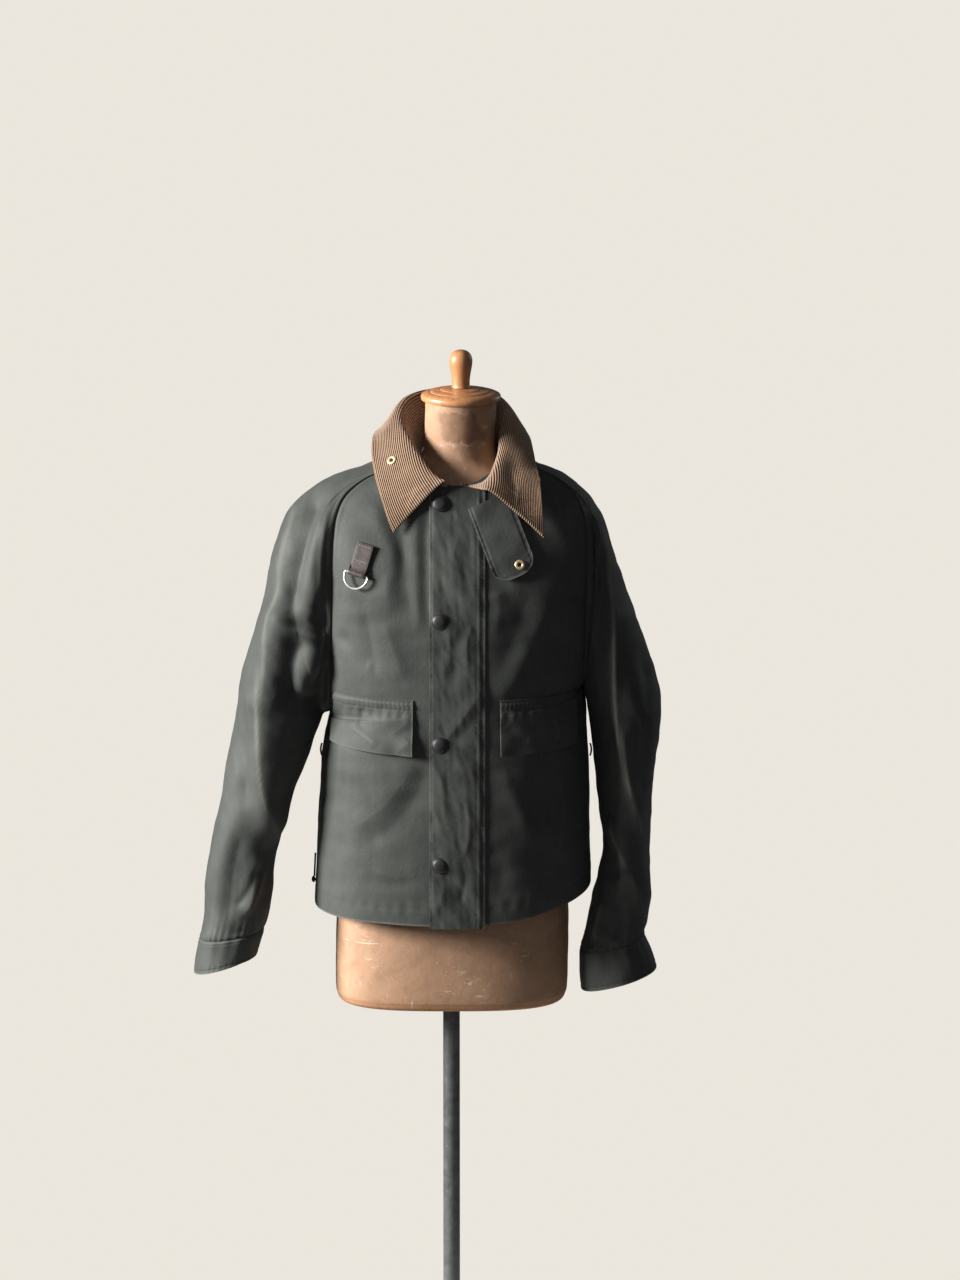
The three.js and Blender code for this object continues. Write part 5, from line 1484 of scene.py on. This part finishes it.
CAP_PROFILE = [
    (0, 0), (53, 0), (55.4, 0.8), (56.3, 2.4), (56.5, 4.5), (56.2, 7), (55, 8.8), (52.5, 10.2),
    (49, 11.6), (46.2, 12.3), (44.9, 12.3), (44.4, 11.7), (43.9, 11.7), (43.5, 12.6), (42, 13.6),
    (38, 14.3), (33, 15.0), (31.2, 15.4), (30.7, 14.9), (30.2, 14.8), (29.7, 15.6), (27.5, 16.4),
    (21, 17.1), (14, 17.6), (0, 17.6),
]
FINIAL_PROFILE = [
    (0, 0), (12.4, 0), (13.1, 0.6), (13.0, 1.6), (12.5, 2.6), (12.5, 5), (12.6, 10), (13.0, 15),
    (13.8, 20), (14.8, 25.5), (15.7, 30.5), (16.3, 35), (16.4, 39), (16.0, 42.4), (15.0, 45.4),
    (13.5, 48), (11.4, 50.3), (8.6, 52.2), (5.2, 53.4), (0, 54),
]
CAP_BOTTOM_Z = NECK_TOP_Z + SEAM_GAP
FINIAL_FOOT_Z = CAP_BOTTOM_Z + 17.6 + SEAM_GAP
BASE_PROFILE = [
    (0, 0), (166, 0), (169, 0.8), (170, 2.6), (170, 8), (169, 10.4), (166.5, 12.4), (162, 14.6),
    (150, 15.8), (60, 17.4), (38, 18.6), (31, 20.5), (27.6, 24), (26.2, 29), (25.6, 36), (24.6, 42),
    (23.6, 45.2), (22, 46), (SOCKET_RADIUS, 46), (SOCKET_RADIUS, 16), (0, 16),
]
POLE_LENGTH = POLE_TOP_Z - POLE_FOOT_Z
POLE_PROFILE = [
    (0, 0), (11.4, 0), (POLE_RADIUS, 0.8), (POLE_RADIUS, 4), (POLE_RADIUS, POLE_LENGTH - 4),
    (POLE_RADIUS, POLE_LENGTH - 0.8), (11.4, POLE_LENGTH), (0, POLE_LENGTH),
]


def turned(name, profile, centre, foot, slot, material, node):
    points, faces = spin_points(profile, 96)
    piece = mesh_object(name, points + [centre, 0, foot], faces, sharp=40)
    finished(piece, "root", slot, material, node)


def stand_and_cap():
    wood = finish_once("varnished_wood", varnished_wood)
    turned("turned_cap", CAP_PROFILE, NECK_LEAN_X, CAP_BOTTOM_Z, "varnished_wood", wood, "neck_cap")
    turned("turned_finial", FINIAL_PROFILE, NECK_LEAN_X, FINIAL_FOOT_Z, "varnished_wood", wood, "finial")
    iron = finish_once("base_iron", base_iron)
    turned("cast_base", BASE_PROFILE, 0, 0, "base_iron", iron, "base_plate")
    steel = finish_once("pole_steel", pole_steel)
    turned("steel_pole", POLE_PROFILE, 0, POLE_FOOT_Z, "pole_steel", steel, "pole")


# ---------------------------------------------------------------- shader maths
class Field:
    """A number that changes over a surface. Sums of it add Math nodes."""

    def __init__(self, owner, socket):
        self.owner = owner
        self.socket = socket

    def maths(self, operation, first, second):
        settings = {"operation": operation}
        return self.owner.add("ShaderNodeMath", settings, {0: first, 1: second})

    def __add__(self, other):
        return self.maths("ADD", self, other)

    __radd__ = __add__

    def __sub__(self, other):
        return self.maths("SUBTRACT", self, other)

    def __rsub__(self, other):
        return self.maths("SUBTRACT", other, self)

    def __mul__(self, other):
        return self.maths("MULTIPLY", self, other)

    __rmul__ = __mul__

    def __pow__(self, other):
        return self.maths("POWER", self, other)

    def held(self):
        """Held between 0 and 1."""
        return self.maths("MINIMUM", self.maths("MAXIMUM", self, 0.0), 1.0)

    def between(self, low, high):
        """0 at low, 1 at high, and held outside them."""
        return ((self - low) * (1 / (high - low))).held()


# the colour sockets of a Mix node, by their place
MIX_SHARE, MIX_FIRST, MIX_SECOND, MIX_RESULT = 0, 6, 7, 2


class Finish:
    """A material with one Principled shader, and short ways to add nodes to it."""

    def __init__(self, name, **constants):
        self.material = bpy.data.materials.new(name)
        self.material.use_nodes = True
        self.nodes = self.material.node_tree.nodes
        self.links = self.material.node_tree.links
        self.nodes.clear()
        self.shader = self.nodes.new("ShaderNodeBsdfPrincipled")
        output = self.nodes.new("ShaderNodeOutputMaterial")
        self.links.new(self.shader.outputs["BSDF"], output.inputs["Surface"])
        for socket, value in constants.items():
            self.shader.inputs[socket.replace("_", " ")].default_value = value

    def add(self, kind, settings=None, inputs=None, output=0):
        """Adds a node: its settings first, then the values or links of its sockets."""
        node = self.nodes.new(kind)
        for key, value in (settings or {}).items():
            setattr(node, key, value)
        for key, value in (inputs or {}).items():
            if isinstance(value, Field):
                self.links.new(value.socket, node.inputs[key])
            else:
                node.inputs[key].default_value = value
        return Field(self, node.outputs[output])

    def place(self):
        return self.add("ShaderNodeTexCoord", output="Object")

    def noise(self, scale, detail=4.0, roughness=0.55, distortion=0.0, where=None):
        sockets = {"Vector": where or self.place(), "Scale": scale, "Detail": detail}
        sockets.update({"Roughness": roughness, "Distortion": distortion})
        return self.add("ShaderNodeTexNoise", None, sockets)

    def stretched(self, along):
        """Places scaled apart along each axis, so that a pattern is drawn out."""
        settings = {"operation": "MULTIPLY"}
        return self.add("ShaderNodeVectorMath", settings, {0: self.place(), 1: along})

    def attribute(self, name):
        return self.add("ShaderNodeAttribute", {"attribute_name": name}, output="Fac")

    def mix(self, share, first, second):
        """A colour between two, by a share."""
        sockets = {MIX_SHARE: share, MIX_FIRST: self.colour(first), MIX_SECOND: self.colour(second)}
        return self.add("ShaderNodeMix", {"data_type": "RGBA"}, sockets, MIX_RESULT)

    def colour(self, value):
        return value if isinstance(value, Field) else (*value, 1)

    def set(self, **sockets):
        for key, value in sockets.items():
            self.links.new(value.socket, self.shader.inputs[key.replace("_", " ")])

    def bump(self, height, distance, strength=1.0, normal=None):
        sockets = {"Height": height, "Distance": distance, "Strength": strength}
        if normal is not None:
            sockets["Normal"] = normal
        return self.add("ShaderNodeBump", None, sockets)


FINISHES = {}


def finish_once(name, make):
    """A finish by its name, made the first time that it is asked for."""
    if name not in FINISHES:
        FINISHES[name] = make(name)
    return FINISHES[name]


# ---------------------------------------------------------------- finishes
def wax_cloth(name):
    """Dark olive waxed cotton: uneven wax, rubbed pale crests, a fine close weave."""
    colour = Vector(bpy.context.scene.jacket_colours.cloth)
    finish = Finish(name, Specular_IOR_Level=0.3, Sheen_Weight=0.05, Sheen_Roughness=0.5)
    patina = finish.noise(7, 6, 0.6, 0.4)
    handling = finish.noise(26, 5, 0.62)
    streak = finish.noise(1, 5, 0.6, where=finish.stretched((90, 90, 16)))
    speckle = finish.noise(520, 2, 0.5)
    wear = finish.attribute("wear")
    rubbed = (wear * (0.45 + handling * 0.9)).held()
    base = finish.mix(patina.between(0.34, 0.68), tuple(colour * 0.78), tuple(colour * 1.16))
    base = finish.mix(streak.between(0.45, 0.72) * 0.35, base, tuple(colour * 1.42))
    base = finish.mix(speckle.between(0.58, 0.74) * 0.22, base, tuple(colour * 1.9))
    dry = (colour[0] * 3.4 + 0.02, colour[1] * 3.2 + 0.02, colour[2] * 2.9 + 0.02)
    base = finish.mix(rubbed * 0.8, base, dry)
    roughness = 0.56 + handling * 0.22 + rubbed * 0.12
    weave = finish.noise(1500, 1.5, 0.5)
    crinkle = finish.noise(150, 4, 0.6, 0.6)
    normal = finish.bump(weave, 0.00012, 0.6)
    normal = finish.bump(crinkle, 0.0007, 0.55, normal)
    finish.set(Base_Color=base, Roughness=roughness, Normal=normal)
    return finish.material


def corduroy(name):
    """Brown corduroy: pale rubbed wales, painted shade in the grooves between them, and a fuzzy nap."""
    colours = bpy.context.scene.jacket_colours
    ridge, groove = Vector(colours.wale), Vector(colours.groove)
    finish = Finish(name, Specular_IOR_Level=0.2, Sheen_Weight=0.3, Sheen_Roughness=0.6)
    wale = finish.attribute("wale")
    wear = finish.attribute("wear")
    patch = finish.noise(34, 4, 0.6)
    nap = finish.noise(900, 3, 0.6)
    # painted shade: the dark groove colour stands for the shade between the wales, on top of the shade
    # that the wale relief casts; the crest colour is the corduroy's own, with its rubbed pile
    crest = (wale ** 1.6 * (0.62 + nap * 0.7)).held()
    base = finish.mix(crest, tuple(groove), tuple(ridge))
    base = finish.mix(patch.between(0.42, 0.7) * 0.35, base, tuple(ridge * 1.25))
    base = finish.mix((wear * 0.6).held(), base, tuple(ridge * 1.7))
    roughness = 0.82 + nap * 0.14
    normal = finish.bump(nap, 0.0005, 0.7)
    finish.set(Base_Color=base, Roughness=roughness, Normal=normal)
    return finish.material


def form_cover(name):
    """A worn tan cover: stains, fine pale scratches, a rubbed foot and a torn neck."""
    cover = Vector(bpy.context.scene.jacket_colours.cover)
    finish = Finish(name, Specular_IOR_Level=0.35)
    height = finish.add("ShaderNodeSeparateXYZ", None, {0: finish.place()}, output=2)
    side = finish.add("ShaderNodeSeparateXYZ", None, {0: finish.place()}, output=0)
    stain = finish.noise(9, 6, 0.62, 0.7)
    mottle = finish.noise(55, 6, 0.65, 0.5)
    base = finish.mix(stain.between(0.35, 0.66), tuple(cover * 0.78), tuple(cover * 1.1))
    shade = (cover[0] * 0.6, cover[1] * 0.5, cover[2] * 0.42)
    base = finish.mix(mottle.between(0.5, 0.72) * 0.4, base, shade)
    scratch = None
    for direction in ((14, 14, 240), (240, 40, 22), (60, 60, 150)):
        lines = finish.noise(1, 3, 0.5, 1.2, where=finish.stretched(direction))
        mask = finish.noise(38, 3, 0.5)
        mark = lines.between(0.64, 0.68) * mask.between(0.52, 0.62)
        scratch = mark if scratch is None else scratch + mark
    pale = (scratch * 0.5).held()
    base = finish.mix(pale, base, (0.72, 0.58, 0.43))
    torn_edge = height + mottle * 0.03 - 0.015
    torn = torn_edge.between(1.452, 1.456) * (1 - torn_edge.between(1.494, 1.498))
    lobe = (side - 0.012 + (stain - 0.5) * 0.05)
    within = 1 - (lobe * lobe).between(0.0007, 0.00095)
    patch = torn * within
    base = finish.mix(patch * 0.5, base, (cover[0] * 0.36, cover[1] * 0.3, cover[2] * 0.26))
    fringe = torn_edge.between(1.449, 1.4525) * (1 - torn_edge.between(1.4535, 1.457)) * within
    base = finish.mix(fringe * mottle.between(0.46, 0.6) * 0.7, base, (0.55, 0.45, 0.34))
    neck = height.between(1.40, 1.44)
    base = finish.mix(neck * 0.12, base, (cover[0] * 0.5, cover[1] * 0.42, cover[2] * 0.36))
    foot = 1 - (height + mottle * 0.012).between(0.647, 0.662)
    base = finish.mix(foot * 0.85, base, (0.4, 0.16, 0.055))
    roughness = 0.5 + mottle * 0.25 - pale * 0.05
    normal = finish.bump(mottle, 0.0012, 0.5)
    normal = finish.bump(pale + patch, 0.0004, 0.6, normal)
    finish.set(Base_Color=base, Roughness=roughness, Normal=normal)
    return finish.material


def varnished_wood(name):
    """Turned wood under orange-brown varnish, with grain drawn along the finial."""
    tint = Vector(bpy.context.scene.jacket_colours.varnish)
    finish = Finish(name, Coat_Weight=0.35, Coat_Roughness=0.18, Specular_IOR_Level=0.5)
    grain = finish.noise(1, 6, 0.6, 0.8, where=finish.stretched((150, 150, 20)))
    pores = finish.noise(1, 3, 0.6, where=finish.stretched((900, 900, 90)))
    worn = finish.noise(45, 4, 0.6)
    base = finish.mix(grain.between(0.3, 0.7), tuple(tint * 0.62), tuple(tint * 1.1))
    base = finish.mix(pores.between(0.6, 0.75) * 0.5, base, tuple(tint * 0.35))
    rubbed = (tint[0] * 1.2, tint[1] * 1.5, tint[2] * 1.9)
    base = finish.mix(worn.between(0.6, 0.75) * 0.3, base, rubbed)
    roughness = 0.3 + worn * 0.18
    finish.set(Base_Color=base, Roughness=roughness, Normal=finish.bump(grain, 0.0004, 0.4))
    return finish.material


def painted_metal(name, colour, roughness, rub, metallic=0.0, grain=260):
    """Dark metal with handling marks and a fine grain."""
    finish = Finish(name, Metallic=metallic, Specular_IOR_Level=0.5)
    marks = finish.noise(70, 5, 0.6, 0.4)
    fine = finish.noise(grain, 3, 0.5)
    colour = Vector(colour)
    base = finish.mix(marks.between(0.35, 0.7), tuple(colour * 0.8), tuple(colour * 1.3))
    base = finish.mix(fine.between(0.62, 0.75) * rub, base, tuple(colour * 3.0))
    finish.set(Base_Color=base, Roughness=roughness + marks * 0.16, Normal=finish.bump(fine, 0.0002, 0.3))
    return finish.material


def pole_steel(name):
    return painted_metal(name, (0.11, 0.12, 0.118), 0.34, 0.3, metallic=0.4)


def base_iron(name):
    return painted_metal(name, (0.055, 0.06, 0.06), 0.48, 0.35, metallic=0.3, grain=420)


def black_enamel(name):
    return painted_metal(name, (0.016, 0.016, 0.017), 0.42, 0.12, grain=700)


def eyelet_brass(name):
    return painted_metal(name, (0.82, 0.66, 0.36), 0.28, 0.1, metallic=0.75)


def ring_nickel(name):
    return painted_metal(name, (0.7, 0.7, 0.69), 0.26, 0.1, metallic=0.7)


def eyelet_shadow(name):
    return painted_metal(name, (0.006, 0.006, 0.007), 0.8, 0.1)


def tab_leather(name):
    """Dark brown strap leather with a close grain and rubbed high spots."""
    finish = Finish(name, Specular_IOR_Level=0.45)
    grain = finish.add("ShaderNodeTexVoronoi", None, {"Vector": finish.place(), "Scale": 900.0})
    rub = finish.noise(130, 4, 0.6)
    base = finish.mix(rub.between(0.4, 0.7), (0.03, 0.021, 0.02), (0.075, 0.055, 0.051))
    roughness = 0.42 + rub * 0.25
    normal = finish.bump(grain, 0.0003, 0.5)
    finish.set(Base_Color=base, Roughness=roughness, Normal=normal)
    return finish.material


def thread_finish(name, colour):
    finish = Finish(name, Specular_IOR_Level=0.3)
    twist = finish.noise(1400, 2, 0.5)
    colour = Vector(colour)
    base = finish.mix(twist.between(0.35, 0.65), tuple(colour * 0.7), tuple(colour * 1.25))
    finish.set(Base_Color=base, Roughness=0.6 + twist * 0.25, Normal=finish.bump(twist, 0.0002, 0.4))
    return finish.material


def pale_thread(name):
    return thread_finish(name, (0.42, 0.36, 0.3))


def dark_thread(name):
    return thread_finish(name, (0.075, 0.082, 0.078))


def black_cord(name):
    """Braided black cord, its strands drawn as fine diagonal bands in its colour and bump."""
    finish = Finish(name, Specular_IOR_Level=0.3)
    strands = finish.add(
        "ShaderNodeTexWave",
        {"wave_type": "BANDS", "bands_direction": "DIAGONAL"},
        {"Vector": finish.place(), "Scale": 420.0, "Distortion": 1.5, "Detail": 1.0},
    )
    base = finish.mix(strands.between(0.2, 0.8), (0.012, 0.012, 0.013), (0.05, 0.05, 0.052))
    finish.set(Base_Color=base, Roughness=0.6 + strands * 0.2, Normal=finish.bump(strands, 0.0004, 0.6))
    return finish.material


def studio_floor(name):
    finish = Finish(name, Specular_IOR_Level=0.2)
    dust = finish.noise(3, 4, 0.5)
    base = finish.mix(dust.between(0.3, 0.7), (0.66, 0.645, 0.61), (0.72, 0.705, 0.67))
    finish.set(Base_Color=base, Roughness=0.75 + dust * 0.1)
    return finish.material


# ---------------------------------------------------------------- camera, light and floor
CAMERA_PLACE = (0.041, -9.763, 3.324)
CAMERA_TILT_DEGREES = 77.5
CAMERA_LENS, CAMERA_SENSOR, CAMERA_REACH = 198, 36, 100


def camera():
    data = bpy.data.cameras.new("front_camera")
    data.lens = CAMERA_LENS
    data.sensor_width = CAMERA_SENSOR
    data.clip_end = CAMERA_REACH
    made = bpy.data.objects.new("front_camera", data)
    made.location = CAMERA_PLACE
    made.rotation_euler = (math.radians(CAMERA_TILT_DEGREES), 0, 0)
    bpy.context.scene.collection.objects.link(made)
    bpy.context.scene.camera = made


def soft_light(name, location, target, size, power, colour):
    data = bpy.data.lights.new(name, "AREA")
    data.shape = "SQUARE"
    data.size = size
    data.energy = power
    data.color = colour
    made = bpy.data.objects.new(name, data)
    made.location = location
    aim = Vector(target) - Vector(location)
    made.rotation_euler = aim.to_track_quat("-Z", "Y").to_euler()
    bpy.context.scene.collection.objects.link(made)


WORLD_LIGHT = ((0.8, 0.81, 0.83), 0.1)
WORLD_SEEN = ((0.83, 0.795, 0.725), 1.0)


def pale_world():
    """A pale studio, bright where it is seen and dim as light, so that the key shapes the folds."""
    world = bpy.data.worlds.new("pale_studio")
    world.use_nodes = True
    nodes, links = world.node_tree.nodes, world.node_tree.links
    nodes.clear()
    output = nodes.new("ShaderNodeOutputWorld")
    choose = nodes.new("ShaderNodeMixShader")
    path = nodes.new("ShaderNodeLightPath")
    shades = []
    for colour, strength in (WORLD_LIGHT, WORLD_SEEN):
        shade = nodes.new("ShaderNodeBackground")
        shade.inputs["Color"].default_value = (*colour, 1)
        shade.inputs["Strength"].default_value = strength
        shades.append(shade)
    links.new(path.outputs["Is Camera Ray"], choose.inputs[0])
    links.new(shades[0].outputs[0], choose.inputs[1])
    links.new(shades[1].outputs[0], choose.inputs[2])
    links.new(choose.outputs[0], output.inputs["Surface"])
    bpy.context.scene.world = world


# ---------------------------------------------------------------- settings
class JacketSizes(PropertyGroup):
    """Sizes of the jacket's finer details."""

    fold_strength: FloatProperty(
        name="Fold Strength", description="How deep the folds are drawn", default=1.0, min=0, max=2
    )
    wale_pitch: FloatProperty(
        name="Wale Pitch", description="From one wale of the corduroy to the next",
        default=0.0036, subtype="DISTANCE", unit="LENGTH",
    )
    wale_height: FloatProperty(
        name="Wale Height", description="How far a wale stands over its groove",
        default=0.0013, subtype="DISTANCE", unit="LENGTH",
    )
    stitch_length: FloatProperty(
        name="Stitch Length", description="Length of one stitch",
        default=0.0026, subtype="DISTANCE", unit="LENGTH",
    )
    stitch_gap: FloatProperty(
        name="Stitch Gap", description="Cloth between two stitches",
        default=0.0011, subtype="DISTANCE", unit="LENGTH",
    )
    thread_radius: FloatProperty(
        name="Thread Radius", description="Half the thickness of the sewing thread",
        default=0.0003, subtype="DISTANCE", unit="LENGTH",
    )


class JacketColours(PropertyGroup):
    """Main colours of the jacket and its form."""

    cloth: FloatVectorProperty(
        name="Cloth", description="Waxed cotton",
        default=(0.046, 0.05, 0.046), subtype="COLOR", min=0, max=1,
    )
    wale: FloatVectorProperty(
        name="Wale", description="Crest of the corduroy", default=(0.34, 0.215, 0.135),
        subtype="COLOR", min=0, max=1,
    )
    # the groove colour is painted shade: the corduroy's brown darkened where shade falls between the
    # wales
    groove: FloatVectorProperty(
        name="Groove", description="Between the wales", default=(0.075, 0.037, 0.02),
        subtype="COLOR", min=0, max=1,
    )
    cover: FloatVectorProperty(
        name="Form Cover", description="The form's worn cover", default=(0.42, 0.25, 0.155),
        subtype="COLOR", min=0, max=1,
    )
    varnish: FloatVectorProperty(
        name="Varnish", description="Neck cap and finial", default=(0.56, 0.25, 0.105),
        subtype="COLOR", min=0, max=1,
    )


# ---------------------------------------------------------------- operators
class JACKET_OT_stage(Operator):
    """Adds the camera, the soft light and the pale floor"""

    bl_idname = "jacket.stage"
    bl_label = "Stage"

    def execute(self, context):
        camera()
        pale_world()
        context.scene.view_settings.view_transform = "Standard"
        soft_light("key_light", (-4.3, -1.1, 2.5), (0, 0, 1.1), 1.5, 720, (1.0, 0.985, 0.955))
        soft_light("fill_light", (0.5, -5.5, 3.0), (0, 0, 1.1), 3.0, 15, (0.98, 0.99, 1.0))
        soft_light("rim_light", (2.8, 2.6, 2.2), (0, 0, 1.2), 1.6, 9, (0.98, 0.99, 1.0))
        half = 600
        corners = half * np.array([[-1, -1, 0], [1, -1, 0], [1, 1, 0], [-1, 1, 0]], float)
        floor = mesh_object("studio_floor", corners - [0, 0, 0.2], [[0, 1, 2, 3]], sharp=0)
        floor.data.materials.append(finish_once("studio_floor", studio_floor))
        return {"FINISHED"}


class JACKET_OT_cords(Operator):
    """Adds the hem's draw cord with its knot and the two loops at the side seams"""

    bl_idname = "jacket.cords"
    bl_label = "Cords"

    def execute(self, context):
        hem_cord()
        side_loops()
        return {"FINISHED"}


class JACKET_OT_form(Operator):
    """Adds the dress form, its turned cap and finial, the pole and the cast base"""

    bl_idname = "jacket.form"
    bl_label = "Form and Stand"

    def execute(self, context):
        form_torso()
        stand_and_cap()
        return {"FINISHED"}


def add_thread(name, rows):
    points, faces = joined(rows)
    thread = mesh_object(name, points, faces, sharp=0)
    finished(thread, "root", "wax_cloth", finish_once("dark_thread", dark_thread))


class JACKET_OT_body(Operator):
    """Adds the two fronts and the back, with their hem stitches"""

    bl_idname = "jacket.body"
    bl_label = "Fronts and Back"

    def execute(self, context):
        rows = [
            front_panel(-1, "front_cloth_right", "front_right"),
            front_panel(1, "front_cloth_left", "front_left"),
            back_panel(),
        ]
        add_thread("hem_stitches", rows)
        return {"FINISHED"}


class JACKET_OT_sleeves(Operator):
    """Adds the raglan sleeves and cuff bands, with their stitches"""

    bl_idname = "jacket.sleeves"
    bl_label = "Sleeves and Cuffs"

    def execute(self, context):
        for side, word in ((-1, "right"), (1, "left")):
            seam = sleeve(side, f"sleeve_cloth_{word}", f"sleeve_{word}")
            add_thread(f"raglan_stitches_{word}", [seam])
        for side, word in ((-1, "right"), (1, "left")):
            edges = cuff(side, f"cuff_band_{word}", f"cuff_{word}")
            add_thread(f"cuff_stitches_{word}", edges)
        return {"FINISHED"}


COLLAR_EYELET_PLACE = 2.7
COLLAR_EYELET_ACROSS = 0.7


class JACKET_OT_collar(Operator):
    """Adds the corduroy collar and the brass eyelet in its right leaf"""

    bl_idname = "jacket.collar"
    bl_label = "Collar"

    def execute(self, context):
        grid, normals = collar()
        j = round(COLLAR_EYELET_PLACE / (len(COLLAR_ROWS) - 1) * (COLLAR_AROUND - 1))
        i = round(COLLAR_EYELET_ACROSS * (COLLAR_ACROSS - 1))
        normal = normals[j, i]
        origin = grid[j, i] + normal * (CORDUROY / 2 + 2 * SEAM_GAP)
        eyelet("collar_eyelet_ring", "eyelet_collar", origin, normal)
        return {"FINISHED"}


class JACKET_OT_flaps(Operator):
    """Adds the storm fly, the throat flap with its eyelet and the pocket flaps"""

    bl_idname = "jacket.flaps"
    bl_label = "Fly and Flaps"

    def execute(self, context):
        add_thread("fly_stitches", storm_fly())
        throat_flap()
        x, z = (np.array(float(value)) for value in THROAT_EYELET)
        origin = over_front(x, z, FLAP_LIFT + 0.7)
        eyelet("throat_eyelet_ring", "eyelet_throat", origin, front_normal(x, z))
        for side, word in ((-1, "right"), (1, "left")):
            rows = pocket_flap(side, f"pocket_cloth_{word}", f"pocket_flap_{word}")
            add_thread(f"pocket_stitches_{word}", rows)
        return {"FINISHED"}


class JACKET_OT_trims(Operator):
    """Adds the snap caps, the leather tab and the D-ring"""

    bl_idname = "jacket.trims"
    bl_label = "Snaps, Tab and Ring"

    def execute(self, context):
        snap_caps()
        ring_tab()
        d_ring()
        return {"FINISHED"}


OPERATORS = (
    JACKET_OT_stage,
    JACKET_OT_cords,
    JACKET_OT_form,
    JACKET_OT_body,
    JACKET_OT_sleeves,
    JACKET_OT_flaps,
    JACKET_OT_collar,
    JACKET_OT_trims,
)


class JACKET_PT_sidebar(Panel):
    """The jacket's settings and the buttons that make its pieces"""

    bl_label = "Waxed Jacket"
    bl_space_type = "VIEW_3D"
    bl_region_type = "UI"
    bl_category = "Jacket"

    def draw(self, context):
        for group in (context.scene.jacket_sizes, context.scene.jacket_colours):
            for name in group.bl_rna.properties.keys():
                if name not in ("rna_type", "name"):
                    self.layout.prop(group, name)
        for operator in OPERATORS:
            self.layout.operator(operator.bl_idname)


CLASSES = (JacketSizes, JacketColours, *OPERATORS, JACKET_PT_sidebar)


def register():
    for kind in CLASSES:
        bpy.utils.register_class(kind)
    bpy.types.Scene.jacket_sizes = PointerProperty(type=JacketSizes)
    bpy.types.Scene.jacket_colours = PointerProperty(type=JacketColours)


def unregister():
    del bpy.types.Scene.jacket_sizes
    del bpy.types.Scene.jacket_colours
    for kind in reversed(CLASSES):
        bpy.utils.unregister_class(kind)


def main():
    register()
    bpy.ops.jacket.stage()
    bpy.ops.jacket.cords()
    bpy.ops.jacket.form()
    bpy.ops.jacket.body()
    bpy.ops.jacket.sleeves()
    bpy.ops.jacket.flaps()
    bpy.ops.jacket.collar()
    bpy.ops.jacket.trims()


if __name__ == "__main__":
    main()
